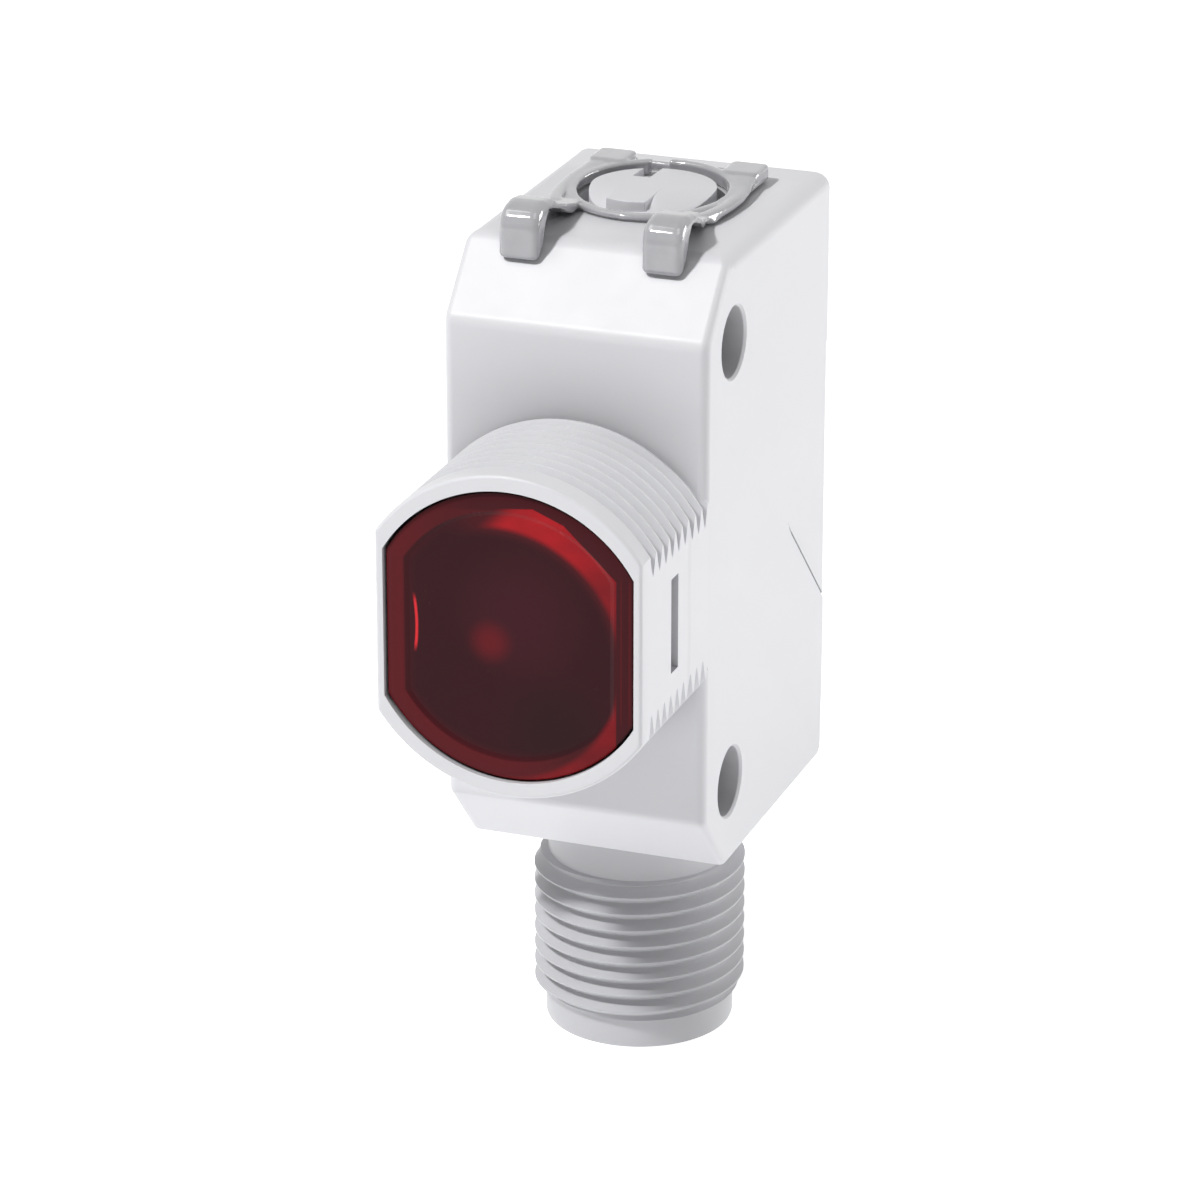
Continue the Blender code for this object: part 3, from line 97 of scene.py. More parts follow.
def fillet_outline(corners: Points, steps: int = 6) -> Array:
    """Round the corners of a closed outline.

    A corner's arc has its centre on the corner's bisector, at radius / sin(half angle), and touches
    both sides at radius / tan(half angle) from the corner.

    Args:
        corners: (across, up, radius) of each corner, in order round the outline.
        steps: facets in each arc.

    Returns:
        Points of shape (corner count * (steps + 1), 2).
    """
    table = np.asarray(corners, float)
    here, radius = table[:, :2], table[:, 2:3]
    before = unit(np.roll(here, 1, axis=0) - here)
    after = unit(np.roll(here, -1, axis=0) - here)
    half = np.arccos(np.clip((before * after).sum(axis=1, keepdims=True), -1.0, 1.0)) / 2
    middle = here + unit(before + after) * radius / np.sin(half)
    start = here + before * radius / np.tan(half) - middle
    end = here + after * radius / np.tan(half) - middle
    cross = start[:, 0] * end[:, 1] - start[:, 1] * end[:, 0]
    sweep = np.arctan2(cross, (start * end).sum(axis=1))
    turn = sweep[:, None] * np.linspace(0.0, 1.0, steps + 1)[None, :]
    across = middle[:, :1] + np.cos(turn) * start[:, :1] - np.sin(turn) * start[:, 1:]
    up = middle[:, 1:] + np.sin(turn) * start[:, :1] + np.cos(turn) * start[:, 1:]
    return np.stack([across, up], axis=-1).reshape(-1, 2)


def outline_normals(outline: Array) -> Array:
    """Outward normals of a closed outline: the mean of the normals of the two sides at each point.

    Args:
        outline: (n, 2) points in order round it.

    Returns:
        Unit vectors of shape (n, 2), one for each point.
    """
    closed = outline[np.concatenate([[True], np.linalg.norm(np.diff(outline, axis=0), axis=1) > 1e-9])]
    along = unit(np.roll(closed, -1, axis=0) - closed)
    right = np.stack([along[:, 1], -along[:, 0]], axis=-1)
    area = (closed[:, 0] * np.roll(closed[:, 1], -1) - np.roll(closed[:, 0], -1) * closed[:, 1]).sum()
    mean = unit(right + np.roll(right, 1, axis=0)) * (1.0 if area > 0 else -1.0)
    nearest = np.argmin(((outline[:, None, :] - closed[None, :, :]) ** 2).sum(axis=-1), axis=1)
    return mean[nearest]


def grid_faces(rows: int, columns: int, rows_close: bool = False, columns_close: bool = True) -> Array:
    """Quads between the neighbours of a grid of points that are numbered row by row.

    Args:
        rows: how many rows there are.
        columns: how many points a row has.
        rows_close: join the last row to the first one.
        columns_close: join a row's last point to its first one.

    Returns:
        Point numbers of shape (face count, 4).
    """
    row = np.arange(rows if rows_close else rows - 1)[:, None]
    column = np.arange(columns if columns_close else columns - 1)[None, :]
    row_next, column_next = (row + 1) % rows, (column + 1) % columns
    quads = [row * columns + column, row * columns + column_next,
             row_next * columns + column_next, row_next * columns + column]
    return np.stack([np.broadcast_to(q, np.broadcast_shapes(row.shape, column.shape)) for q in quads],
                    axis=-1).reshape(-1, 4)


def to_mesh(name: str, points: Array, faces: list[list[int]], weld: float = 0.0008) -> Piece:
    """Put a closed surface into a mesh object in the row frame, with its faces pointing outwards.

    Args:
        name: the object's name.
        points: (n, 3) in millimetres about the lens axis.
        faces: point numbers of each face.
        weld: points closer than this, in millimetres, are merged.

    Returns:
        The object, at the origin.
    """
    mesh = bpy.data.meshes.new(name)
    mesh.from_pydata((points + ORIGIN) * MM, [], faces)
    sheet = bmesh.new()
    sheet.from_mesh(mesh)
    bmesh.ops.remove_doubles(sheet, verts=sheet.verts, dist=weld * MM)
    bmesh.ops.dissolve_degenerate(sheet, edges=sheet.edges, dist=weld * MM * 0.5)
    bmesh.ops.recalc_face_normals(sheet, faces=sheet.faces)
    sheet.to_mesh(mesh)
    sheet.free()
    item = bpy.data.objects.new(name, mesh)
    bpy.context.scene.collection.objects.link(item)
    return item


def points_of(piece: Piece) -> Array:
    """A piece's points in millimetres about the lens axis.

    Args:
        piece: the mesh object.

    Returns:
        Places of shape (n, 3).
    """
    places = np.empty(len(piece.data.vertices) * 3)
    piece.data.vertices.foreach_get("co", places)
    return places.reshape(-1, 3) / MM - ORIGIN


def move_points(piece: Piece, places: Array) -> None:
    """Give a piece's points new places, in millimetres about the lens axis."""
    piece.data.vertices.foreach_set("co", ((places + ORIGIN) * MM).reshape(-1))


def grid_object(name: str, rows: Array, caps: bool = True, rows_close: bool = False,
                seam: bool = False) -> Piece:
    """Make a closed surface from rows of points, each row a closed ring.

    Args:
        name: the object's name.
        rows: (row count, column count, 3) in millimetres.
        caps: fill the first and the last ring with one flat face each.
        rows_close: join the last ring to the first one.
        seam: the last column lies on the first one, of the same row or of a later one on a thread,
            so it is welded there and not joined by faces.

    Returns:
        The object.
    """
    count, columns = rows.shape[:2]
    faces = grid_faces(count, columns, rows_close, not seam).tolist()
    if caps and not rows_close:
        ring = np.arange(columns - 1 if seam else columns)
        faces += [ring.tolist(), (ring + (count - 1) * columns).tolist()]
    return to_mesh(name, rows.reshape(-1, 3), faces)


def lay(across: Array, up: Array, along: Array, axis: Axis) -> Array:
    """Points from their two places across an axis and their place along it.

    About X the two are Y and Z, about Y they are X and Z, and about Z they are X and Y.
    """
    order = {Axis.X: (along, across, up), Axis.Y: (across, along, up), Axis.Z: (across, up, along)}
    return np.stack(np.broadcast_arrays(*order[axis]), axis=-1)


def turned(name: str, profile: Points, centre: Sequence[float], axis: Axis,
           columns: int = 96, fillet: int = 4) -> Piece:
    """Turn a closed profile about an axis: a point at radius r and height h goes round as
    (r cos t, r sin t, h).

    Args:
        name: the object's name.
        profile: (radius, height, fillet radius) of each corner of the closed profile.
        centre: a point that the axis goes through.
        axis: its direction.
        columns: facets of the turn.
        fillet: facets of each fillet.

    Returns:
        The object.
    """
    outline = fillet_outline(profile, fillet)
    radius = np.maximum(outline[:, 0], 0.0)[:, None]
    turn = np.linspace(0.0, 2 * math.pi, columns, endpoint=False)[None, :]
    points = lay(radius * np.cos(turn), radius * np.sin(turn), outline[:, 1:], axis) + np.asarray(centre)
    return grid_object(name, points, caps=False, rows_close=True)


def prism(name: str, outline: Array, start: float, end: float, axis: Axis,
          centre: Sequence[float] = (0.0, 0.0, 0.0)) -> Piece:
    """A flat outline carried straight along an axis from start to end.

    Args:
        name: the object's name.
        outline: (n, 2) points in order round it.
        start: where it starts along the axis.
        end: where it ends.
        axis: its direction.
        centre: a point that the axis goes through.

    Returns:
        The object.
    """
    along = np.array([start, end])[:, None]
    points = lay(outline[None, :, 0], outline[None, :, 1], along, axis) + np.asarray(centre)
    return grid_object(name, points)


def rod(name: str, radius: float, start: float, end: float, axis: Axis,
        centre: Sequence[float] = (0.0, 0.0, 0.0), columns: int = 64) -> Piece:
    """A plain cylinder, for cutting and joining.

    Args:
        name: the object's name.
        radius: its radius.
        start: where it starts along the axis.
        end: where it ends.
        axis: its direction.
        centre: a point that the axis goes through.
        columns: facets of the turn.

    Returns:
        The object.
    """
    turn = np.linspace(0.0, 2 * math.pi, columns, endpoint=False)
    circle = np.stack([radius * np.cos(turn), radius * np.sin(turn)], axis=-1)
    return prism(name, circle, start, end, axis, centre)


def block(name: str, corner: Sequence[float], opposite: Sequence[float]) -> Piece:
    """A plain block between two opposite corners, for cutting and joining.

    Args:
        name: the object's name.
        corner: (X, Y, Z) of one corner.
        opposite: (X, Y, Z) of the corner across from it.

    Returns:
        The object.
    """
    low, high = np.minimum(corner, opposite), np.maximum(corner, opposite)
    outline = np.array([(low[0], low[1]), (high[0], low[1]), (high[0], high[1]), (low[0], high[1])])
    return prism(name, outline, low[2], high[2], Axis.Z)


def slab(name: str, corners: Points, start: float, end: float, axis: Axis,
         edges: Sequence[float], centre: Sequence[float] = (0.0, 0.0, 0.0),
         steps: int = 6, round_start: bool = True) -> Piece:
    """A flat outline carried along an axis, with its edges rounded over.

    At the angle a of an edge's quarter circle of radius r, the outline has moved in by r (1 - cos a)
    and lies r (1 - sin a) short of the end face.

    Args:
        name: the object's name.
        corners: (across, up, radius) of the outline's corners.
        start: where the slab starts along the axis.
        end: where it ends.
        axis: its direction.
        edges: the edge radius along the side that follows each corner.
        centre: a point that the axis goes through.
        steps: facets of each quarter circle.
        round_start: round the edges of the start face too.

    Returns:
        The object.
    """
    outline = fillet_outline(corners, steps)
    normals = outline_normals(outline)
    share = np.linspace(0.0, 1.0, steps + 1)[None, :]
    after = np.asarray(edges, float)[:, None]
    radius = (np.roll(after, 1, axis=0) * (1 - share) + after * share).reshape(-1)
    quarter = np.linspace(0.0, math.pi / 2, steps + 1)
    inset = radius[None, :] * (1 - np.cos(quarter))[:, None]
    short = radius[None, :] * (1 - np.sin(quarter))[:, None]
    head = outline[None] - normals[None] * inset[..., None]
    last = lay(head[..., 0], head[..., 1], end - short, axis)
    if round_start:
        first = lay(head[::-1, :, 0], head[::-1, :, 1], start + short[::-1], axis)
    else:
        first = lay(outline[None, :, 0], outline[None, :, 1], np.full((1, len(outline)), start), axis)
    return grid_object(name, np.concatenate([first, last]) + np.asarray(centre))


def smooth_path(knots: Points, count: int) -> Array:
    """A curve through knots, with the slope at each knot half the step between its neighbours.

    Args:
        knots: points that the curve goes through.
        count: how many points it gets.

    Returns:
        Points of shape (count, 3).
    """
    points = np.asarray(knots, float)
    padded = np.concatenate([2 * points[:1] - points[1:2], points, 2 * points[-1:] - points[-2:-1]])
    slopes = (padded[2:] - padded[:-2]) / 2
    place = np.linspace(0.0, len(points) - 1, count)
    cell = np.minimum(place.astype(int), len(points) - 2)
    t = (place - cell)[:, None]
    first, second = points[cell], points[cell + 1]
    return ((2 * t ** 3 - 3 * t ** 2 + 1) * first + (t ** 3 - 2 * t ** 2 + t) * slopes[cell]
            + (3 * t ** 2 - 2 * t ** 3) * second + (t ** 3 - t ** 2) * slopes[cell + 1])


def swept(name: str, knots: Points, widths: Sequence[float],
          thicknesses: Sequence[float], side: Sequence[float], power: float = 3.5,
          count: int = 48, columns: int = 40, cap: float = 0.12) -> Piece:
    """A rounded bar carried along a curve.

    Its section is |a / width| ^ power + |b / thickness| ^ power = 1, and its ends shrink as a
    quarter circle over the share cap of its length.

    Args:
        name: the object's name.
        knots: points that the curve goes through.
        widths: half widths at the knots, along the side direction.
        thicknesses: half thicknesses at the knots.
        side: the direction of the width.
        power: how square the section is.
        count: rings along the curve.
        columns: points in a ring.
        cap: share of the length in each rounded end.

    Returns:
        The object.
    """
    path = smooth_path(knots, count)
    along = unit(np.gradient(path, axis=0))
    across = np.broadcast_to(np.asarray(side, float), path.shape)
    across = unit(across - (across * along).sum(axis=1, keepdims=True) * along)
    rise = np.cross(along, across)
    at = np.linspace(0.0, len(knots) - 1, count)
    share = np.linspace(0.0, 1.0, count)
    ends = np.sqrt(np.clip(1 - np.clip(1 - np.minimum(share, 1 - share) / cap, 0, 1) ** 2, 0.0, 1.0))
    width = np.interp(at, np.arange(len(knots)), widths) * ends
    thickness = np.interp(at, np.arange(len(knots)), thicknesses) * ends
    turn = np.linspace(0.0, 2 * math.pi, columns, endpoint=False)
    a = np.sign(np.cos(turn)) * np.abs(np.cos(turn)) ** (2 / power)
    b = np.sign(np.sin(turn)) * np.abs(np.sin(turn)) ** (2 / power)
    points = (path[:, None] + across[:, None] * (width[:, None] * a)[..., None]
              + rise[:, None] * (thickness[:, None] * b)[..., None])
    return grid_object(name, points)


@dataclass(frozen=True)
class Thread:
    """A V thread on a turned outside, with two flats where flat is given."""

    start: float
    end: float
    crest: float
    depth: float
    pitch: float = 1.0
    crest_share: float = 0.14
    root_share: float = 0.16
    flat: float = 0.0
    columns: int = 48

    @property
    def spread(self) -> int:
        """How many points half a flat has."""
        return max(self.columns // 6, 4)

    def rings(self, radii: Array, flat: Array) -> tuple[Array, Array]:
        """Points round the axis: arcs of the given radius between two flats.

        Args:
            radii: radius at each row and column.
            flat: distance of the flats from the axis at each row and column.

        Returns:
            The two places across the axis. Each arc runs between the angles where it meets the
            flats, arccos(flat / radius), and a flat's points are spread evenly between them.
        """
        if self.flat <= 0:
            turn = np.linspace(0.0, 2 * math.pi, radii.shape[1])[None, :]
            return radii * np.cos(turn), radii * np.sin(turn)
        spread = self.spread
        corner = np.arccos(np.clip(flat / radii, -1.0, 1.0))
        rise = np.sqrt(np.maximum(radii ** 2 - flat ** 2, 0.0))
        upper = np.linspace(0.0, 1.0, spread, endpoint=False)
        arc = np.linspace(0.0, 1.0, self.columns, endpoint=False)
        side = np.linspace(1.0, -1.0, 2 * spread, endpoint=False)
        lower = np.linspace(-1.0, 0.0, spread + 1)
        parts = np.cumsum([0, spread, self.columns, 2 * spread, self.columns, spread + 1])
        x, z = np.empty_like(radii), np.empty_like(radii)
        cut = [slice(a, b) for a, b in zip(parts, parts[1:])]
        for part, sign, share in ((cut[0], 1, upper), (cut[2], -1, side), (cut[4], 1, lower)):
            x[:, part], z[:, part] = sign * flat[:, part], share * rise[:, part]
        for part, start in ((cut[1], 0.0), (cut[3], math.pi)):
            turn = start + corner[:, part] + (math.pi - 2 * corner[:, part]) * arc
            x[:, part], z[:, part] = radii[:, part] * np.cos(turn), radii[:, part] * np.sin(turn)
        return x, z

    def width(self) -> int:
        """How many points a ring has; the first and the last are the same place."""
        return 2 * self.columns + 4 * self.spread + 1 if self.flat > 0 else self.columns + 1

    def rows(self, limit: Callable[[Array], Array], fade: Callable[[Array], Array],
             flat: Callable[[Array], Array]) -> tuple[Array, Array, Array]:
        """The threaded rows. At turn k and share p of the pitch, a row's height is
        start + pitch (k + p + angle / 2 pi), kept between start and end, and its radius is
        crest - depth * groove(p) * fade(height), but no more than limit(height).

        Args:
            limit: largest radius at a height.
            fade: how deep the groove is at a height, from 0 to 1.
            flat: distance of the flats from the axis at a height.

        Returns:
            Across, up and height of every point.
        """
        flank = (1 - self.crest_share - self.root_share) / 2
        marks = np.cumsum([0.0, self.crest_share, flank / 2, flank / 2, self.root_share / 2,
                           self.root_share / 2, flank / 2])
        groove = np.array([0.0, 0.0, 0.5, 0.94, 1.0, 0.94, 0.5])
        turns = int(math.ceil((self.end - self.start) / self.pitch)) + 1
        phase = (np.arange(-1, turns)[:, None] + marks[None, :]).reshape(-1, 1)
        depth = self.depth * np.tile(groove, turns + 1)[:, None]
        depth = np.broadcast_to(depth, (len(phase), self.width()))
        radii = np.full(depth.shape, self.crest)
        for _ in range(4):
            x, z = self.rings(radii, flat(np.full(depth.shape, self.end)))
            angle = np.mod(np.arctan2(z, x), 2 * math.pi)
            angle[:, -1] = 2 * math.pi
            angle[:, 0] = 0.0
            height = np.clip(self.start + self.pitch * (phase + angle / (2 * math.pi)),
                             self.start, self.end)
            radii = np.minimum(limit(height), self.crest - depth * fade(height))
        x, z = self.rings(radii, flat(height))
        return x, z, height


def make_solid(piece: Piece, joining: Joining, *others: Piece) -> Piece:
    """Add or cut other solids, make the result the piece's own mesh and remove the others.

    Args:
        piece: the mesh object.
        joining: add or cut.
        others: the other solids, which are used up.

    Returns:
        The piece.
    """
    for other in others:
        step = piece.modifiers.new(other.name, "BOOLEAN")
        step.operation = joining.value
        step.object = other
        step.solver = "EXACT"
    settle(piece)
    for other in others:
        mesh = other.data
        bpy.data.objects.remove(other)
        bpy.data.meshes.remove(mesh)
    return piece


def settle(piece: Piece) -> None:
    """Make a piece's modifiers part of its mesh.

    Args:
        piece: the mesh object.
    """
    bpy.context.view_layer.update()
    made = piece.evaluated_get(bpy.context.evaluated_depsgraph_get())
    mesh = bpy.data.meshes.new_from_object(made)
    old = piece.data
    piece.modifiers.clear()
    piece.data = mesh
    bpy.data.meshes.remove(old)
    mesh.name = piece.name


def shade(piece: Piece, degrees: float = 30.0) -> Piece:
    """Shade smooth with crisp edges above an angle; large faces then keep their own normal.

    Args:
        piece: the mesh object.
        degrees: edges that turn by more than this stay crisp.

    Returns:
        The piece.
    """
    piece.data.shade_smooth()
    piece.data.set_sharp_from_angle(angle=math.radians(degrees))
    piece.modifiers.new("even", "WEIGHTED_NORMAL").keep_sharp = True
    settle(piece)
    return piece


# Finishes


@dataclass
class NodeSheet:
    """The node tree of a material or a world, with short ways to add to it."""

    owner: bpy.types.ID

    @classmethod
    def new(cls, name: str) -> "NodeSheet":
        """A material with an empty Principled surface.

        Args:
            name: the material's name.

        Returns:
            Its sheet.
        """
        material = bpy.data.materials.new(name)
        material.use_nodes = True
        return cls(material)

    def set(self, **values: object) -> None:
        """Set or link inputs of the Principled shader; an underscore in a name stands for a space."""
        surface = self.owner.node_tree.nodes["Principled BSDF"]
        for name, value in values.items():
            self.plug(value, surface.inputs[name.replace("_", " ")])

    def plug(self, value: object, socket: Socket) -> None:
        """Link a socket's value, or set a constant.

        Args:
            value: a socket or a constant.
            socket: the input that takes it.
        """
        if isinstance(value, Socket):
            self.owner.node_tree.links.new(value, socket)
        else:
            socket.default_value = value

    def add(self, kind: str, inputs: dict[str | int, object] | None = None,
            **settings: object) -> bpy.types.Node:
        """Add a node, set its properties and fill its inputs.

        Args:
            kind: the node's type.
            inputs: values or sockets for its inputs, by name or number.
            settings: the node's properties.

        Returns:
            The node.
        """
        node = self.owner.node_tree.nodes.new(kind)
        for name, value in settings.items():
            setattr(node, name, value)
        for key, value in (inputs or {}).items():
            self.plug(value, node.inputs[key])
        return node

    def math(self, operation: str, *values: object) -> Socket:
        """One arithmetic step on up to three values."""
        return self.add("ShaderNodeMath", dict(enumerate(values)), operation=operation).outputs[0]

    def times(self, first: object, *others: object) -> Socket:
        """The product of two or more values.

        Args:
            first: the first value.
            others: the values that it is multiplied by.

        Returns:
            The product.
        """
        for other in others:
            first = self.math("MULTIPLY", first, other)
        return first

    def step(self, value: object, low: float, high: float) -> Socket:
        """0 below low, 1 above high, and smooth between them. High may be the smaller one.

        Args:
            value: a socket or a constant.
            low: where the step starts.
            high: where it is complete.

        Returns:
            The step's value.
        """
        start, end, first, last = (low, high, 0.0, 1.0) if low < high else (high, low, 1.0, 0.0)
        inputs = {"Value": value, "From Min": start, "From Max": end, "To Min": first, "To Max": last}
        return self.add("ShaderNodeMapRange", inputs, interpolation_type="SMOOTHSTEP").outputs["Result"]

    def ramp(self, value: Socket, low: float, high: float) -> Socket:
        """Bring a value from 0..1 into low..high."""
        return self.add("ShaderNodeMapRange",
                        {"Value": value, "To Min": low, "To Max": high}).outputs["Result"]

    def place(self) -> Socket:
        """The point on the object, in metres in the row frame."""
        return self.add("ShaderNodeTexCoord").outputs["Object"]

    def noise(self, scale: float, detail: float = 3.0, stretch: Sequence[float] = (1, 1, 1)) -> Socket:
        """Noise on the object's own coordinates; scale is in cells per metre.

        Args:
            scale: cells per metre.
            detail: how many finer layers are added.
            stretch: factors on X, Y and Z before the pattern.

        Returns:
            A pattern from 0 to 1.
        """
        mapping = self.add("ShaderNodeMapping", {"Scale": stretch, "Vector": self.place()})
        inputs = {"Vector": mapping.outputs["Vector"], "Scale": scale, "Detail": detail}
        return self.add("ShaderNodeTexNoise", inputs).outputs["Fac"]

    def blend(self, share: object, first: object, second: object) -> Socket:
        """Mix two colours."""
        return self.add("ShaderNodeMix", {"Factor": share, 6: first, 7: second}, data_type="RGBA").outputs[2]

    def bump(self, height: Socket, distance: float, strength: float = 1.0,
             below: Socket | None = None) -> Socket:
        """Relief of the given height in metres, on top of another one.

        Args:
            height: the pattern, from 0 to 1.
            distance: its full height in metres.
            strength: the share of it that shows.
            below: the relief that it lies on.

        Returns:
            The bent normal.
        """
        inputs = {"Strength": strength, "Distance": distance, "Height": height}
        if below is not None:
            inputs["Normal"] = below
        return self.add("ShaderNodeBump", inputs).outputs["Normal"]

    def shown(self) -> Socket:
        """1 for what the camera sees, straight, mirrored or through clear plastic, and 0 for light.

        Returns:
            The ray's kind, as 0 or 1.
        """
        rays = self.add("ShaderNodeLightPath").outputs
        return self.math("MAXIMUM", rays["Is Camera Ray"],
                         self.math("MAXIMUM", rays["Is Glossy Ray"], rays["Is Transmission Ray"]))


def tone(colour: Colour, factor: float = 1.0) -> tuple[float, float, float, float]:
    """A colour made lighter or darker."""
    red, green, blue = (min(channel * factor, 1.0) for channel in colour)
    return red, green, blue, 1.0


@dataclass(frozen=True)
class MouldedPlastic:
    """Moulded plastic: a fine spark-eroded grain, faint flow marks and uneven gloss.

    Where painted_corner_shade is set, corners and hollows within corner_reach metres of another face get
    painted shade: their colour is darker by that share.
    """

    name: str
    colour: Colour
    gloss: tuple[float, float] = (0.34, 0.46)
    grain: float = 0.0000012
    variation: float = 0.015
    painted_corner_shade: float = 0.0
    corner_reach: float = 0.009

    def make(self) -> bpy.types.Material:
        """Build the material.

        Returns:
            The material.
        """
        sheet = NodeSheet.new(self.name)
        flow = sheet.noise(140.0, 3.0, (1.0, 0.6, 1.6))
        colour = sheet.blend(flow, tone(self.colour, 1 - self.variation),
                             tone(self.colour, 1 + self.variation))
        if self.painted_corner_shade:
            # Painted shade: an ambient occlusion test darkens the colour in corners and hollows.
            near = sheet.add("ShaderNodeAmbientOcclusion", {"Distance": self.corner_reach}, samples=8)
            colour = sheet.blend(sheet.step(near.outputs["AO"], 0.1, 0.9),
                                 tone(self.colour, 1 - self.painted_corner_shade), colour)
        fine = sheet.bump(sheet.noise(14000.0, 2.0), self.grain)
        sheet.set(Base_Color=colour, Roughness=sheet.ramp(sheet.noise(900.0, 4.0), *self.gloss),
                  Normal=sheet.bump(sheet.noise(450.0, 2.0), self.grain * 2.5, 0.6, fine), IOR=1.46)
        return sheet.owner


@dataclass(frozen=True)
class TintedWindow:
    """Deep red clear plastic over a dark hollow, seen as one surface.

    Light and shade are painted on: painted light on the flange at the left and the bottom, a painted
    highlight on the bevelled ring behind the window at the upper corner, a painted glint on the left, a
    painted light spot where the receiver lies near the middle, and painted shade in the hollow and at the
    flange's edge.
    All of it is fixed to the lens. Places in the lens's plane, across and up, are in millimetres about its
    axis.
    """

    name: str
    # The colours after deep are painted light and shade: middle, painted light in the hollow; shadow, painted
    # shade in it; edge, a painted shadow line; rim, painted light on the flange; the two after glow's
    # neighbours, painted highlights on the ring and on the left; glow, a painted light spot at the receiver.
    deep: Colour = (0.040, 0.0068, 0.0105)
    middle: Colour = (0.060, 0.0100, 0.0170)
    shadow: Colour = (0.026, 0.0078, 0.0095)
    edge: Colour = (0.012, 0.002, 0.003)
    rim: Colour = (0.125, 0.0105, 0.0145)
    painted_crescent: Colour = (0.50, 0.014, 0.020)
    painted_glint: Colour = (0.80, 0.035, 0.045)
    glow: Colour = (0.150, 0.0105, 0.0150)
    radius: float = 8.03
    flat: float = 6.97

    def make(self) -> bpy.types.Material:
        """Build the material.

        Returns:
            The material.
        """
        sheet = NodeSheet.new(self.name)
        place = sheet.add("ShaderNodeSeparateXYZ", {0: sheet.place()}).outputs
        across = sheet.math("MULTIPLY_ADD", place["X"], 1 / MM, -float(ORIGIN[0]))
        up = sheet.times(place["Z"], 1 / MM)
        colour = self.hollow(sheet, across, up)
        colour = self.flange(sheet, across, up, colour)
        sheet.set(Base_Color=self.painted_highlights(sheet, across, up, colour), IOR=1.49,
                  Roughness=sheet.ramp(sheet.noise(700.0, 2.0), 0.20, 0.30), Specular_IOR_Level=0.10,
                  Normal=sheet.bump(sheet.noise(260.0, 1.0), 0.000002, 0.4))
        return sheet.owner

    def hollow(self, sheet: NodeSheet, across: Socket, up: Socket) -> Socket:
        """The dark hollow, a little lighter and bluer in the middle with painted light, and nearly black at
        the lower right with painted shade.

        Args:
            sheet: the material's nodes.
            across: place across the lens, as a socket.
            up: place up the lens, as a socket.

        Returns:
            The colour.
        """
        colour = sheet.blend(sheet.noise(190.0, 2.0), tone(self.deep, 0.85), tone(self.deep, 1.12))
        # Painted light in the middle, painted shade at the lower right.
        for x, z, reach, core, share, paint in ((0.6, 1.2, 4.6, 0.6, 0.75, self.middle),
                                                (2.6, -5.0, 4.2, 0.4, 0.7, self.shadow)):
            near = sheet.step(self.distance(sheet, across, up, x, z), reach, core)
            colour = sheet.blend(sheet.times(near, share), colour, tone(paint))
        return colour

    def flange(self, sheet: NodeSheet, across: Socket, up: Socket, colour: Socket) -> Socket:
        """The flange, with painted light at the left and the bottom, and left dark above and at the right.

        Args:
            sheet: the material's nodes.
            across: place across the lens, as a socket.
            up: place up the lens, as a socket.
            colour: the colour so far.

        Returns:
            The colour with the flange in it.
        """
        from_arc = sheet.math("SUBTRACT", self.radius, self.distance(sheet, across, up, 0.0, 0.0))
        from_flat = sheet.math("SUBTRACT", self.flat, sheet.math("ABSOLUTE", across))
        inset = sheet.math("MINIMUM", from_arc, from_flat)
        # Painted light: the flange is lighter where it faces the left and the bottom.
        facing = sheet.math("MULTIPLY_ADD", across, -0.11, sheet.times(up, -0.055))
        lit = sheet.step(facing, -0.25, 0.50)
        strip = sheet.times(sheet.step(inset, 1.14, 1.00), sheet.ramp(lit, 0.28, 1.0))
        colour = sheet.blend(strip, colour, tone(self.rim))
        inner = sheet.times(sheet.step(inset, 1.75, 1.12), lit, 0.35)
        colour = sheet.blend(inner, colour, tone(self.rim, 0.8))
        # Two thin painted highlight lines near the right flat.
        for place, width in ((6.24, 0.07), (6.70, 0.10)):
            line = sheet.times(self.band(sheet, across, place, width, 0.0),
                               self.band(sheet, up, 0.0, 4.6, 3.4), 0.75)
            colour = sheet.blend(line, colour, tone(self.rim))
        # A painted shadow line at the flange's outer edge.
        return sheet.blend(sheet.step(inset, 0.14, 0.02), colour, tone(self.edge))

    def painted_highlights(self, sheet: NodeSheet, across: Socket, up: Socket, colour: Socket) -> Socket:
        """Painted light: the bevelled ring's lit crescent, its small painted glint on the left, and a painted
        light spot at the receiver.

        Args:
            sheet: the material's nodes.
            across: place across the lens, as a socket.
            up: place up the lens, as a socket.
            colour: the colour so far.

        Returns:
            The colour with the caught light in it.
        """
        # The crescent: a painted highlight on the bevelled ring behind the window, broken up by facets.
        outside = None
        for normal_x, normal_z, reach in ((-0.109, 0.994, 7.118), (0.377, 0.926, 7.282),
                                          (0.685, 0.728, 6.922), (1.0, 0.0, 5.97)):
            past = sheet.math("MULTIPLY_ADD", across, normal_x,
                              sheet.math("MULTIPLY_ADD", up, normal_z, -reach))
            outside = past if outside is None else sheet.math("MAXIMUM", outside, past)
        radius = self.distance(sheet, across, up, -0.8, -1.0)
        ring = sheet.times(sheet.step(radius, 6.78, 7.22), sheet.step(outside, 0.04, -0.05),
                           sheet.step(sheet.math("SUBTRACT", across, up), -7.9, -6.2))
        facets = sheet.ramp(sheet.noise(420.0, 1.0, (1.0, 1.0, 1.7)), 0.35, 1.0)
        along = sheet.step(sheet.math("SUBTRACT", up, across), -6.0, 5.5)
        ring = sheet.times(ring, sheet.times(facets, sheet.ramp(along, 0.5, 1.2)))
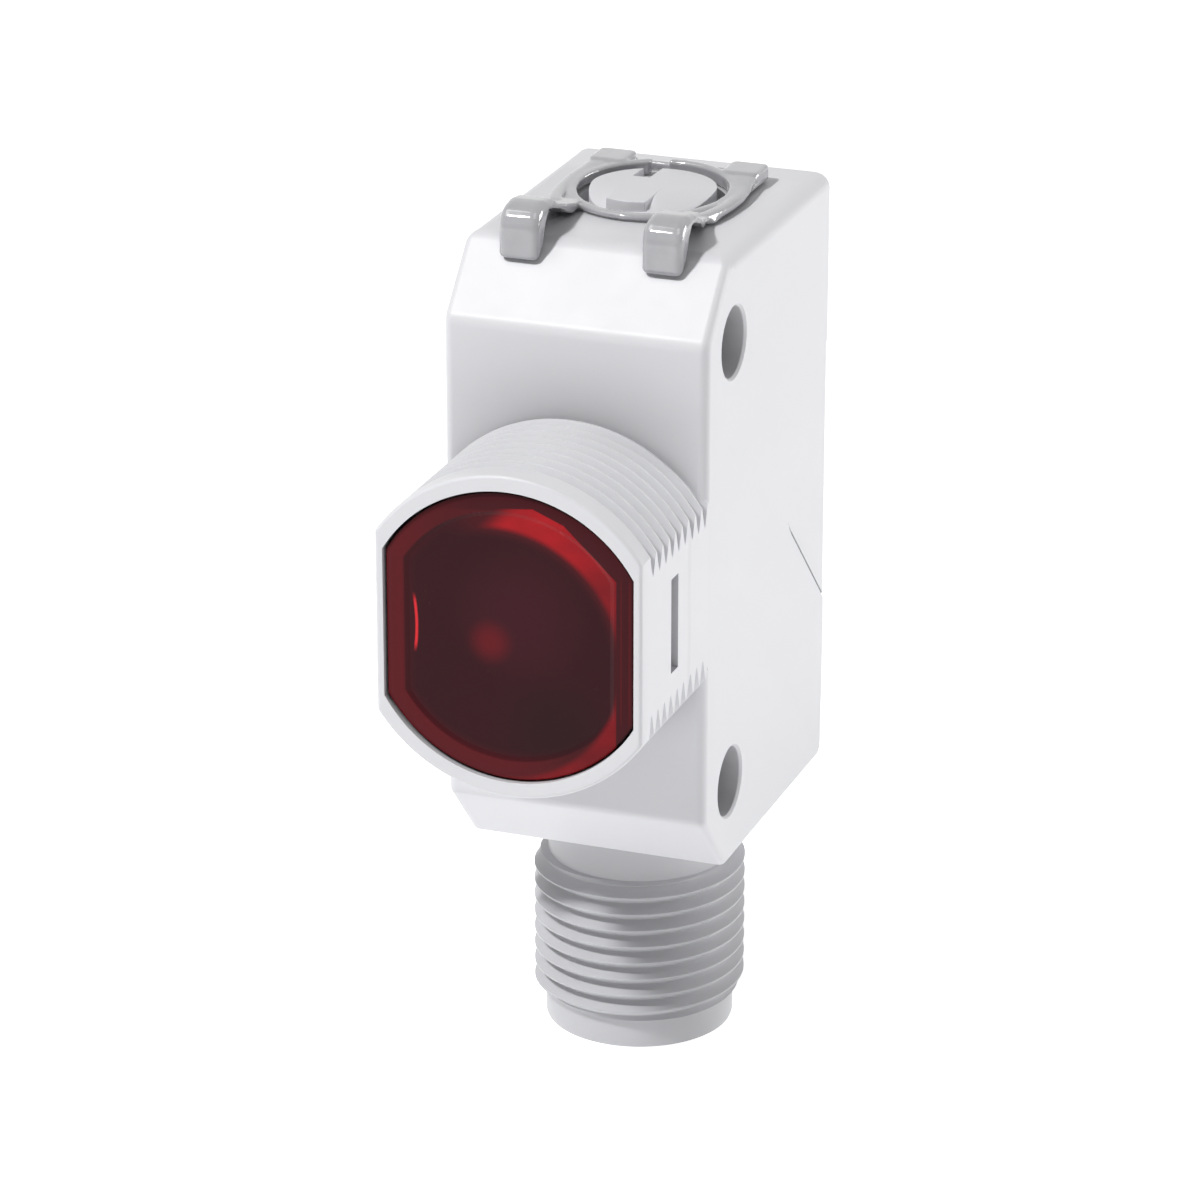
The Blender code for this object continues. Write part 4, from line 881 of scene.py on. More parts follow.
        # A fainter painted highlight along the same ring.
        faint = sheet.times(sheet.step(radius, 6.35, 7.0), sheet.step(outside, 0.05, -0.2),
                            sheet.step(sheet.math("ADD", up, across), 1.5, 5.5), 0.35)
        colour = sheet.blend(faint, colour, tone(self.rim, 1.2))
        colour = sheet.blend(ring, colour, tone(self.painted_crescent))
        # The sliver: a painted glint on the left.
        bend = sheet.math("MULTIPLY_ADD", sheet.times(up, up), 0.05, 5.22)
        sliver = sheet.step(sheet.math("ABSOLUTE", sheet.math("ADD", across, bend)), 0.12, 0.03)
        sliver = sheet.times(sliver, self.band(sheet, up, 0.12, 1.75, 1.0))
        colour = sheet.blend(sliver, colour, tone(self.painted_glint))
        # A painted light spot where the receiver lies.
        glow = sheet.step(self.distance(sheet, across, up, -1.06, -0.4), 1.55, 0.2)
        return sheet.blend(sheet.times(glow, 0.9), colour, tone(self.glow))

    @staticmethod
    def band(sheet: NodeSheet, value: Socket, middle: float, outer: float, inner: float) -> Socket:
        """1 within inner of the middle, 0 beyond outer, and smooth between them."""
        return sheet.step(sheet.math("ABSOLUTE", sheet.math("SUBTRACT", value, middle)), outer, inner)

    @staticmethod
    def distance(sheet: NodeSheet, across: Socket, up: Socket, x: float, z: float) -> Socket:
        """Distance from a point in the lens's plane."""
        dx, dz = sheet.math("SUBTRACT", across, x), sheet.math("SUBTRACT", up, z)
        return sheet.math("SQRT", sheet.math("MULTIPLY_ADD", dx, dx, sheet.times(dz, dz)))


@dataclass(frozen=True)
class SmokeClear:
    """Clear grey plastic with a high polish and the uneven skin of a thick moulding."""

    name: str
    colour: Colour = (0.40, 0.40, 0.42)

    def make(self) -> bpy.types.Material:
        """Build the material.

        Returns:
            The material.
        """
        sheet = NodeSheet.new(self.name)
        skin = sheet.bump(sheet.noise(620.0, 1.5), 0.000045, 0.75)
        sheet.set(Base_Color=sheet.blend(sheet.noise(520.0, 3.0), tone(self.colour, 0.82),
                                         tone(self.colour, 1.22)),
                  Roughness=sheet.ramp(sheet.noise(1500.0, 2.0), 0.06, 0.16),
                  Normal=sheet.bump(sheet.noise(2600.0, 1.0), 0.000004, 0.5, skin),
                  IOR=1.58, Specular_IOR_Level=0.75, Coat_Weight=0.6, Coat_Roughness=0.04)
        return sheet.owner


@dataclass(frozen=True)
class PlatedMetal:
    """Tinned, nickelled or gilt metal with rolling marks."""

    name: str
    colour: Colour
    gloss: tuple[float, float] = (0.18, 0.34)

    def make(self) -> bpy.types.Material:
        """Build the material.

        Returns:
            The material.
        """
        sheet = NodeSheet.new(self.name)
        marks = sheet.noise(1400.0, 4.0, (0.25, 1.0, 1.0))
        sheet.set(Base_Color=sheet.blend(marks, tone(self.colour, 0.90), tone(self.colour, 1.05)),
                  Roughness=sheet.ramp(marks, *self.gloss), Normal=sheet.bump(marks, 0.0000015, 0.5),
                  Metallic=1.0)
        return sheet.owner


@dataclass(frozen=True)
class SoftRubber:
    """Black rubber with a dusty bloom."""

    name: str
    clean: Colour = (0.012, 0.012, 0.013)
    dusty: Colour = (0.030, 0.030, 0.032)

    def make(self) -> bpy.types.Material:
        """Build the material.

        Returns:
            The material.
        """
        sheet = NodeSheet.new(self.name)
        bloom = sheet.noise(900.0, 5.0)
        sheet.set(Base_Color=sheet.blend(bloom, tone(self.clean), tone(self.dusty)),
                  Roughness=sheet.ramp(bloom, 0.62, 0.85),
                  Normal=sheet.bump(sheet.noise(9000.0, 2.0), 0.000003, 0.6))
        return sheet.owner


@dataclass(frozen=True)
class Laminate:
    """Green solder mask over a glass weave, with copper tracks showing through as lighter lines."""

    name: str
    dark: Colour = (0.006, 0.060, 0.022)
    light: Colour = (0.010, 0.085, 0.032)
    track: Colour = (0.030, 0.16, 0.060)
    thread: Colour = (0.02, 0.12, 0.05)

    def make(self) -> bpy.types.Material:
        """Build the material.

        Returns:
            The material.
        """
        sheet = NodeSheet.new(self.name)
        weave = sheet.add("ShaderNodeTexChecker", {"Vector": sheet.place(), "Scale": 2400.0}).outputs["Fac"]
        grid = sheet.add("ShaderNodeTexBrick", {"Vector": sheet.place(), "Scale": 700.0,
                                                "Mortar Size": 0.03}).outputs["Fac"]
        mask = sheet.blend(sheet.noise(600.0, 3.0), tone(self.dark), tone(self.light))
        mask = sheet.blend(sheet.times(grid, 0.6), mask, tone(self.track))
        sheet.set(Base_Color=sheet.blend(sheet.times(weave, 0.12), mask, tone(self.thread)),
                  Roughness=sheet.ramp(sheet.noise(1200.0, 2.0), 0.26, 0.42),
                  Normal=sheet.bump(grid, 0.00002, 0.5))
        return sheet.owner


@dataclass(frozen=True)
class LampBody:
    """A small lamp of cloudy coloured resin."""

    name: str
    colour: Colour

    def make(self) -> bpy.types.Material:
        """Build the material.

        Returns:
            The material.
        """
        sheet = NodeSheet.new(self.name)
        cloud = sheet.noise(1100.0, 3.0)
        sheet.set(Base_Color=sheet.blend(cloud, tone(self.colour, 0.75), tone(self.colour, 1.1)),
                  Roughness=sheet.ramp(cloud, 0.18, 0.34),
                  Normal=sheet.bump(sheet.noise(5000.0, 2.0), 0.000002, 0.5),
                  Subsurface_Weight=0.3, Subsurface_Scale=0.0004)
        return sheet.owner


class Finish(Enum):
    """Every finish of the sensor, under the name of its slot in the record."""

    # The white moulding has painted shade in its corners and hollows.
    WHITE = MouldedPlastic("white_moulding", (0.80, 0.80, 0.825), painted_corner_shade=0.34)
    PALE = MouldedPlastic("pale_moulding", (0.59, 0.59, 0.61), (0.32, 0.44))
    RED = TintedWindow("red_clear")
    SMOKE = SmokeClear("smoke_clear")
    GREY = MouldedPlastic("grey_moulding", (0.76, 0.76, 0.785), (0.36, 0.46), 0.0000016, 0.02)
    BLACK = MouldedPlastic("black_moulding", (0.016, 0.016, 0.017), (0.42, 0.58), 0.000002, 0.12)
    RUBBER = SoftRubber("black_rubber")
    LAMINATE = Laminate("board_laminate")
    CHIP = MouldedPlastic("chip_package", (0.020, 0.020, 0.022), (0.48, 0.66), 0.000004, 0.15)
    TIN = PlatedMetal("tinned_steel", (0.62, 0.62, 0.64))
    GOLD = PlatedMetal("gold_plating", (0.83, 0.58, 0.22), (0.16, 0.30))
    FILM = MouldedPlastic("polyimide_film", (0.50, 0.19, 0.025), (0.25, 0.36), 0.000001, 0.08)
    GREEN_LAMP = LampBody("green_lamp", (0.08, 0.42, 0.12))
    YELLOW_LAMP = LampBody("yellow_lamp", (0.62, 0.42, 0.05))


@dataclass
class Paintbox:
    """Makes each finish once and hands it out."""

    made: dict[Finish, bpy.types.Material] = field(default_factory=dict)

    def of(self, finish: Finish) -> bpy.types.Material:
        """The finish's material.

        Args:
            finish: which finish.

        Returns:
            The material.
        """
        if finish not in self.made:
            self.made[finish] = finish.value.make()
        return self.made[finish]

    def put(self, piece: Piece, finish: Finish, body: str, node: str) -> None:
        """Dress a new piece, let it ride on a body and stand for a CAD node.

        Args:
            piece: the mesh object.
            finish: which finish.
            body: the body that it rides on.
            node: the CAD node.
        """
        piece.data.materials.clear()
        piece.data.materials.append(self.of(finish))
        for holder in piece.material_slots:
            holder.material = self.of(finish)
        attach(piece, body)
        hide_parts(node)
        LOG.info("%s: %d faces on %s", piece.name, len(piece.data.polygons), body)


# The sensor's pieces


@dataclass
class Housing:
    """The white moulding: a rounded body, its hollow, and the threaded barrel with two flats."""

    nose_run: float = 3.65
    nose_rise: float = 3.90
    side_wall: float = 1.2
    front_wall: float = 1.5
    end_wall: float = 1.6
    screw_radius: float = 1.95
    screw_height: float = 12.7
    screw_back: float = 4.25
    screw_lead: float = 0.14
    boss_radius: float = 2.85
    sleeve: tuple[float, float] = (3.1, 14.2)
    rail: tuple[float, float, float, float] = (8.0, 18.2, 8.12, 8.92)
    rebate_wall: float = 0.6
    rebate_depth: float = 1.3
    relief: float = 0.15
    arrow_tip: float = 12.8
    arrow_reach: float = 9.2
    line_tip: float = 12.7
    line_width: float = 0.45
    line_depth: float = 0.28
    ramp_start: float = 2.9
    barrel: Thread = Thread(start=-8.95, end=0.6, crest=9.0, depth=0.62, flat=7.45, columns=60)
    collar_front: float = -10.0
    rim_chamfer: float = 0.22
    optic_bore: float = 6.0
    slot_back: float = -4.9
    slot_half: tuple[float, float] = (0.55, 2.65)

    def body(self) -> Piece:
        """The rounded block of the side view.

        Returns:
            The solid block.
        """
        rise = HALF_HEIGHT - self.nose_rise
        corners = [(0.0, -rise, 0.9), (0.0, rise, 1.1), (self.nose_run, HALF_HEIGHT, 1.3),
                   (REAR, HALF_HEIGHT, 0.9), (REAR, -HALF_HEIGHT, 0.7), (self.nose_run, -HALF_HEIGHT, 0.7)]
        edges = [0.55, 0.45, 0.95, 0.5, 0.5, 0.42]
        return slab("housing", corners, -HALF_WIDTH, HALF_WIDTH, Axis.X, edges, steps=8)

    def hollow(self) -> Piece:
        """The space inside: the side view less its walls, bosses, sleeve and rails.

        Returns:
            The solid to cut away.
        """
        top = HALF_HEIGHT - self.end_wall
        slope = math.hypot(self.nose_run, self.nose_rise)
        start = self.nose_run + self.front_wall * slope / self.nose_rise
        start -= self.end_wall * self.nose_run / self.nose_rise
        shoulder = top - (start - self.front_wall) * self.nose_rise / self.nose_run
        rear, half = REAR + 1.0, HALF_WIDTH - self.side_wall
        outline = np.array([(self.front_wall, -shoulder), (self.front_wall, shoulder), (start, top),
                            (rear, top), (rear, -top), (start, -top)])
        space = prism("hollow", outline, -half, half, Axis.X)
        bosses = [rod("boss", self.boss_radius, -8.0, 8.0, Axis.X, (0.0, self.screw_back, side), 48)
                  for side in (-self.screw_height, self.screw_height)]
        radius, low = self.sleeve
        sleeve = rod("sleeve", radius, low, HALF_HEIGHT, Axis.Z, (0.0, ADJUSTER_BACK, 0.0))
        front, back, low, high = self.rail
        rails = [block("rail", (8.0 * side, front, low), ((half - 0.8) * side, back, high))
                 for side in (-1, 1)]
        return make_solid(space, Joining.CUT, *bosses, sleeve, *rails)

    def threaded_barrel(self) -> Piece:
        """The barrel: a plain collar with a bevelled rim, then the thread down to the body.

        The flats step out by the last twentieth of a millimetre near the body.

        Returns:
            The solid barrel.
        """
        thread = self.barrel

        def flat(height: Array) -> Array:
            """The flats step out by 0.045 from 2.66 to 2.61 in front of the body.

            Args:
                height: heights along the axis.

            Returns:
                The flats' distance from the axis there.
            """
            return thread.flat + 0.045 * np.clip((height + 2.66) / 0.05, 0.0, 1.0)

        def fade(height: Array) -> Array:
            """The groove's depth grows in behind the collar and ends at the body.

            Args:
                height: heights along the axis.

            Returns:
                A share from 0 to 1.
            """
            return np.clip(np.minimum((height - thread.start - 0.10) / 0.30, (0.5 - height) / 0.2), 0.0, 1.0)

        x, z, height = thread.rows(lambda h: np.full(h.shape, thread.crest), fade, flat)
        bevel = np.linspace(0.0, math.pi / 2, 5)
        shrink = self.rim_chamfer * (1 - np.sin(bevel))[:, None]
        rim = np.broadcast_to(shrink, (5, thread.width()))
        rim_x, rim_z = thread.rings(thread.crest - rim, thread.flat - rim)
        rim_height = self.collar_front + self.rim_chamfer * (1 - np.cos(bevel))[:, None]
        rows = np.concatenate([lay(rim_x, rim_z, rim_height, Axis.Y), lay(x, z, height, Axis.Y)])
        return grid_object("barrel", rows, seam=True)

    @staticmethod
    def pocket(radius: float, flat: float, start: float, end: float) -> Piece:
        """The lens's pocket: a cylinder with two upright flats.

        Args:
            radius: its radius.
            flat: distance of the flats from the axis.
            start: where it starts along the axis.
            end: where it ends.

        Returns:
            The solid to cut away.
        """
        corner = math.acos(flat / radius)
        arc = np.linspace(corner, math.pi - corner, 48)
        turn = np.concatenate([arc, arc + math.pi])
        outline = np.stack([radius * np.cos(turn), radius * np.sin(turn)], axis=-1)
        return prism("pocket", outline, start, end, Axis.Y)

    def flared_hole(self, height: float) -> Piece:
        """A screw hole with a small lead-in at both sides.

        Args:
            height: its height over the lens axis.

        Returns:
            The solid to cut away.
        """
        side, lead, radius = HALF_WIDTH, self.screw_lead, self.screw_radius
        profile = [(0.0, -side - 1, 0), (radius + lead + 1, -side - 1, 0), (radius, -side + lead, 0.1),
                   (radius, side - lead, 0.1), (radius + lead + 1, side + 1, 0), (0.0, side + 1, 0)]
        return turned("screw_hole", profile, (0.0, self.screw_back, height), Axis.X, 96)

    @staticmethod
    def side_cut(name: str, outline: Array, side: int, depth: float) -> Piece:
        """An outline cut into one side face to a depth."""
        inside, outside = side * (HALF_WIDTH - depth), side * (HALF_WIDTH + 1.0)
        return prism(name, outline, min(inside, outside), max(inside, outside), Axis.X)

    def arrow(self, side: int) -> Piece:
        """The rear field, set back behind an arrow-shaped line with a rounded point.

        Args:
            side: -1 for the left side and 1 for the right one.

        Returns:
            The solid to cut away.
        """
        rear, reach = REAR + 1.0, self.arrow_reach
        outline = fillet_outline([(self.arrow_tip, 0.0, 2.6), (rear, reach, 0.0), (rear, -reach, 0.0)], 10)
        return self.side_cut("arrow", outline, side, self.relief)

    def arrow_line(self, side: int) -> Piece:
        """A fine groove along the arrow, deeper than the field behind it.

        Args:
            side: -1 for the left side and 1 for the right one.

        Returns:
            The solid to cut away.
        """
        rear, back, reach, wide = REAR + 1.0, self.line_tip, self.arrow_reach, self.line_width
        outline = fillet_outline([(rear, reach, 0.0), (back, 0.0, 2.6), (rear, -reach, 0.0),
                                  (rear, wide - reach, 0.0), (back + wide, 0.0, 2.4),
                                  (rear, reach - wide, 0.0)], 8)
        return self.side_cut("arrow_line", outline, side, self.line_depth)

    def ramp(self, side: int) -> Piece:
        """The sloping field behind the lower line.

        Along the line and across it, its floor lies relief * fade(along) * (1 - across / band)
        below the side, so the line is crisp and fades at its upper end.

        Args:
            side: -1 for the left side and 1 for the right one.

        Returns:
            The solid to cut away.
        """
        band, length = (self.arrow_tip - self.ramp_start) / math.sqrt(2), 30.0
        along = np.linspace(0.0, length, 31)[:, None]
        across = np.linspace(0.0, band, 9)[None, :]
        share = np.clip(along / 4.0, 0.0, 1.0)
        deep = self.relief * share * share * (3 - 2 * share) * (1 - across / band)
        back = self.ramp_start + (along + across) / math.sqrt(2)
        up = (across - along) / math.sqrt(2)
        floor = np.stack(np.broadcast_arrays(side * (HALF_WIDTH - deep), back, up), axis=-1)
        roof = floor.copy()
        roof[..., 0] = side * (HALF_WIDTH + 0.6)
        count, wide = floor.shape[:2]
        size = count * wide
        sheet = grid_faces(count, wide, False, False)
        ring = np.concatenate([np.arange(wide), np.arange(1, count) * wide + wide - 1,
                               size - 2 - np.arange(wide - 1), (np.arange(count - 2)[::-1] + 1) * wide])
        walls = np.stack([ring, np.roll(ring, -1), np.roll(ring, -1) + size, ring + size], axis=-1)
        faces = np.concatenate([sheet, sheet + size, walls]).tolist()
        return to_mesh("ramp", np.concatenate([floor.reshape(-1, 3), roof.reshape(-1, 3)]), faces)

    def top_cuts(self) -> list[Piece]:
        """The adjuster's recess and bore, and the holes of the cover's posts.

        Returns:
            The solids to cut away.
        """
        axis, end = (0.0, ADJUSTER_BACK, 0.0), HALF_HEIGHT
        recess = [(0, end - 0.8, 0), (4.05, end - 0.8, 0.12), (4.05, end, 0.0), (5.15, end + 1.1, 0),
                  (0, end + 1.1, 0)]
        posts = [rod("post_hole", 0.95, 15.0, end + 1, Axis.Z, (side * POST[0], POST[1], 0.0), 32)
                 for side in (-1, 1)]
        return [turned("recess", recess, axis, Axis.Z, 96), rod("sleeve_bore", 2.05, 13.0, end, Axis.Z, axis),
                *posts]

    def bottom_cuts(self) -> list[Piece]:
        """The connector's hole and the groove of its seal.

        Returns:
            The solids to cut away.
        """
        socket, end = (0.0, CONNECTOR_BACK, 0.0), 2.1 - HALF_HEIGHT
        return [rod("connector_hole", 5.3, -HALF_HEIGHT - 1, end, Axis.Z, socket, 96),
                rod("seal_groove", 5.7, -HALF_HEIGHT + 1.0, end, Axis.Z, socket, 96)]

    def build(self, paint: Paintbox) -> None:
        """Make the housing and dress it.

        Args:
            paint: the finishes.
        """
        body = self.body()
        wide, high = HALF_WIDTH - self.rebate_wall, HALF_HEIGHT - self.rebate_wall
        rebate = block("rebate", (-wide, REAR - self.rebate_depth, -high), (wide, 23.0, high))
        bore = rod("optic_bore", self.optic_bore, -2.0, 2.5, Axis.Y, columns=96)
        holes = [self.flared_hole(self.screw_height), self.flared_hole(-self.screw_height)]
        relief = [cut(side) for cut in (self.arrow, self.ramp, self.arrow_line) for side in (-1, 1)]
        make_solid(body, Joining.CUT, self.hollow(), rebate, *holes, bore, *self.top_cuts(),
                   *self.bottom_cuts(), *relief)
        barrel = self.threaded_barrel()
        long, high = self.slot_half
        slots = [block("flat_slot", ((HALF_WIDTH + 1) * side, self.slot_back - long, -high),
                       ((HALF_WIDTH - 1.1) * side, self.slot_back + long, high)) for side in (-1, 1)]
        bore = rod("bore", self.optic_bore, -8.0, 1.0, Axis.Y, columns=96)
        make_solid(barrel, Joining.CUT, self.pocket(8.13, 7.0, -11.0, -7.4), bore, *slots)
        make_solid(body, Joining.ADD, barrel)
        paint.put(shade(body, 28.0), Finish.WHITE, SHELL, "housing")


@dataclass
class RearCover:
    """The cover in the rear of the housing, with the lip that enters the hollow."""

    half_width: float = 6.8
    half_height: float = 16.9
    front: float = 19.8
    corner: float = 0.15
    edge: float = 0.14
    lip: tuple[float, float] = (6.2, 15.9)
    lip_wall: float = 0.8

    def build(self, paint: Paintbox) -> None:
        """Make the cover and dress it.

        Args:
            paint: the finishes.
        """
        corners = [(x * self.half_width, z * self.half_height, self.corner)
                   for x, z in ((-1, -1), (1, -1), (1, 1), (-1, 1))]
        plate = slab("rear_cover", corners, self.front, REAR, Axis.Y, [self.edge] * 4, steps=4)
        wide, high = self.lip
        lip = block("lip", (-wide, self.front - 1.0, -high), (wide, self.front + 0.6, high))
        wide, high = wide - self.lip_wall, high - self.lip_wall
        hollow = block("lip_hollow", (-wide, self.front - 2.0, -high), (wide, self.front, high))
        make_solid(plate, Joining.ADD, lip)
        make_solid(plate, Joining.CUT, hollow)
        paint.put(shade(plate), Finish.WHITE, SHELL, "rear_cover")


@dataclass
class Lens:
    """The red lens: a flange with two flats, a stepped window and a dome behind it."""

    ring: Thread = Thread(0.0, 1.0, crest=8.03, depth=0.0, flat=6.90, columns=48)
    front: float = -9.8
    flange: float = 1.5
    dome_radius: float = 5.7
    dome_rise: float = 1.7
    insets: tuple[float, ...] = (0.0, 0.05, 0.12, 1.05, 1.30, 2.2, 3.4, 5.0, 6.5)
    depths: tuple[float, ...] = (0.12, 0.03, 0.0, 0.0, 0.12, 0.11, 0.09, 0.08, 0.07)
    rear_insets: tuple[float, ...] = (0.0, 0.0, 0.1, 1.2)

    def rings(self, insets: Sequence[float]) -> tuple[Array, Array]:
        """The lens's outline drawn in by each inset: the two places across the axis."""
        inward = np.broadcast_to(np.asarray(insets)[:, None], (len(insets), self.ring.width()))
        return self.ring.rings(self.ring.crest - inward, self.ring.flat - inward)

    def build(self, paint: Paintbox) -> None:
        """Make the lens and dress it.

        Rings shrink from the flange's edge to the middle, in front and behind. In front the window
        lies 0.12 deep inside a bevel; behind, the dome's depth is rise * (1 - (r / radius) ^ 2).

        Args:
            paint: the finishes.
        """
        x, z = self.rings(self.insets)
        front = lay(x, z, self.front + np.asarray(self.depths)[:, None], Axis.Y)[::-1]
        middle = front[:1] * np.array([0.0, 1.0, 0.0])
        x, z = self.rings(self.rear_insets)
        rear = self.front + self.flange
        back = lay(x, z, np.array([self.front + 0.12, rear - 0.1, rear, rear])[:, None], Axis.Y)
        share = np.linspace(1.0, 0.0, 13)[:, None]
        turn = np.arctan2(z[-1], x[-1])[None, :]
        dome = lay(self.dome_radius * share * np.cos(turn), self.dome_radius * share * np.sin(turn),
                   rear + self.dome_rise * (1 - share ** 2), Axis.Y)
        lens = grid_object("lens", np.concatenate([middle, front, back, dome]), caps=False)
        paint.put(shade(lens, 24.0), Finish.RED, SHELL, "lens")


@dataclass
class IndicatorCover:
    """The clear grey moulding: a split ring, two arched legs, side webs, rear blocks and posts."""

    inner: float = 4.15
    outer: float = 4.7
    ring_top: float = 18.32
    slant: float = 0.27
    gap: tuple[float, float] = (-1.55, -0.55)
    leg: tuple[float, float] = (2.9, 5.2)
    leg_outline: tuple[tuple[float, float, float], ...] = (
        (3.07, 17.14, 0.1), (2.22, 16.23, 0.25), (2.20, 19.38, 1.3), (3.75, 19.57, 0.9), (4.75, 19.46, 0.8),
        (5.55, 18.98, 0.8), (6.60, 18.42, 0.8), (9.10, 18.15, 0.1), (9.10, 17.74, 0.1), (7.70, 17.74, 0.4),
        (7.05, 17.96, 0.6), (5.45, 18.72, 0.6), (4.65, 19.05, 0.6), (4.02, 18.96, 0.4), (3.62, 18.42, 0.5))
    leg_edges: tuple[float, ...] = (0.3, 0.42, 0.5, 0.42, 0.3) + (0.14,) * 10
    web: tuple[tuple[float, float, float], ...] = (
        (4.00, 7.6, 18.12), (4.50, 9.2, 18.04), (4.80, 11.2, 18.02), (4.74, 13.2, 18.06),
        (4.30, 14.9, 18.20), (3.90, 16.4, 18.36))
    lump: tuple[float, float, float, float] = (2.8, 4.95, 15.4, 17.65)
    voxel: float = 0.08

    def ring(self) -> Piece:
        """The ring round the adjuster, split at the far side.

        Its top rises from front to back: a point there at Y from the axis is lifted by
        slant * Y / outer.

        Returns:
            The split ring.
        """
        low, high = HALF_HEIGHT + 0.12, self.ring_top
        ring = turned("indicator_cover", [(self.inner, low, 0.06), (self.outer, low, 0.06),
                                          (self.outer, high, 0.16), (self.inner, high, 0.10)],
                      (0.0, ADJUSTER_BACK, 0.0), Axis.Z, 128)
        places = points_of(ring)
        share = np.clip((places[:, 2] - low) / (high - low), 0.0, 1.0)
        places[:, 2] += share * (self.slant * (places[:, 1] - ADJUSTER_BACK) / self.outer - 0.02)
        move_points(ring, places)
        left, right = self.gap
        split = block("gap", (left, ADJUSTER_BACK, low - 1.0), (right, 17.2, high + 1.0))
        return make_solid(ring, Joining.CUT, split)

    def leg_at(self, side: float) -> Piece:
        """One leg: a thick foot on the nose slope, and a thin arch from its crest down to the ring.

        Behind its crest the leg's outer side comes in: a point's way from the inner side is shortened
        by a share of 0.3 * s * s, where s runs from 0 at 4.4 to 1 at 8.0 from the front.

        Args:
            side: -1 for the left side and 1 for the right one.

        Returns:
            The leg.
        """
        start, end = sorted((side * self.leg[0], side * self.leg[1]))
        leg = slab("leg", self.leg_outline, start, end, Axis.X, self.leg_edges, steps=5)
        places = points_of(leg)
        share = np.clip((places[:, 1] - 4.4) / 3.6, 0.0, 1.0) ** 2
        inner = side * self.leg[0]
        places[:, 0] = inner + (places[:, 0] - inner) * (1 - 0.3 * share)
        move_points(leg, places)
        return leg

    def plate(self) -> Piece:
        """The low floor between the ring and its side webs.

        Returns:
            The floor.
        """
        corners = [(-4.9, 8.3, 0.5), (4.9, 8.3, 0.5), (4.9, 16.0, 0.3), (-4.9, 16.0, 0.3)]
        plate = slab("plate", corners, HALF_HEIGHT + 0.12, HALF_HEIGHT + 0.38, Axis.Z, [0.08] * 4, steps=3)
        return make_solid(plate, Joining.CUT,
                          rod("hole", 4.3, 16.0, 20.0, Axis.Z, (0.0, ADJUSTER_BACK, 0.0), 96),
                          block("front", (-3.3, 7.0, 16.0), (3.3, 12.0, 20.0)),
                          block("rear", (-3.0, 12.5, 16.0), (3.0, 17.0, 20.0)))

    def parts(self) -> list[Piece]:
        """The solids that flow together, left and right alike.

        Returns:
            All solids but the ring.
        """
        top = HALF_HEIGHT
        left, right, near, far = self.lump
        bar = swept("bar", [(-3.8, 17.4, top + 0.34), (0.0, 17.42, top + 0.32), (3.8, 17.4, top + 0.34)],
                    [0.2] * 3, [0.22] * 3, (0.0, 1.0, 0.0))
        made = [bar, self.plate()]
        for side in (-1.0, 1.0):
            web = swept("web", [(x * side, y, z) for x, y, z in self.web],
                        [0.42, 0.40, 0.34, 0.42, 0.66, 0.85], [0.24, 0.28, 0.28, 0.28, 0.26, 0.22],
                        (1.0, 0.0, 0.0), 2.8)
            lump = slab("block", [(left * side, near, 0.4), (right * side, near, 0.35),
                                  (right * side, far, 0.3), (left * side, far, 0.3)],
                        top + 0.12, top + 1.0, Axis.Z, [0.16] * 4, steps=4)
            post = rod("post", 0.85, 10.95, top + 0.5, Axis.Z, (POST[0] * side, POST[1], 0.0), 40)
            made += [self.leg_at(side), web, lump, post]
        return made

    def build(self, paint: Paintbox) -> None:
        """Flow the solids together on a fine grid and smooth the skin, then dress it.

        Args:
            paint: the finishes.
        """
        cover = self.ring()
        others = self.parts()
        sheet = bmesh.new()
        for piece in (cover, *others):
            sheet.from_mesh(piece.data)
        sheet.to_mesh(cover.data)
        sheet.free()
        for other in others:
            bpy.data.objects.remove(other)
        merge = cover.modifiers.new("merge", "REMESH")
        merge.mode = "VOXEL"
        merge.voxel_size = self.voxel * MM
        even = cover.modifiers.new("even", "SMOOTH")
        even.factor = 0.5
        even.iterations = 5
        settle(cover)
        cover.data.shade_smooth()
        paint.put(cover, Finish.SMOKE, SHELL, "indicator_cover")


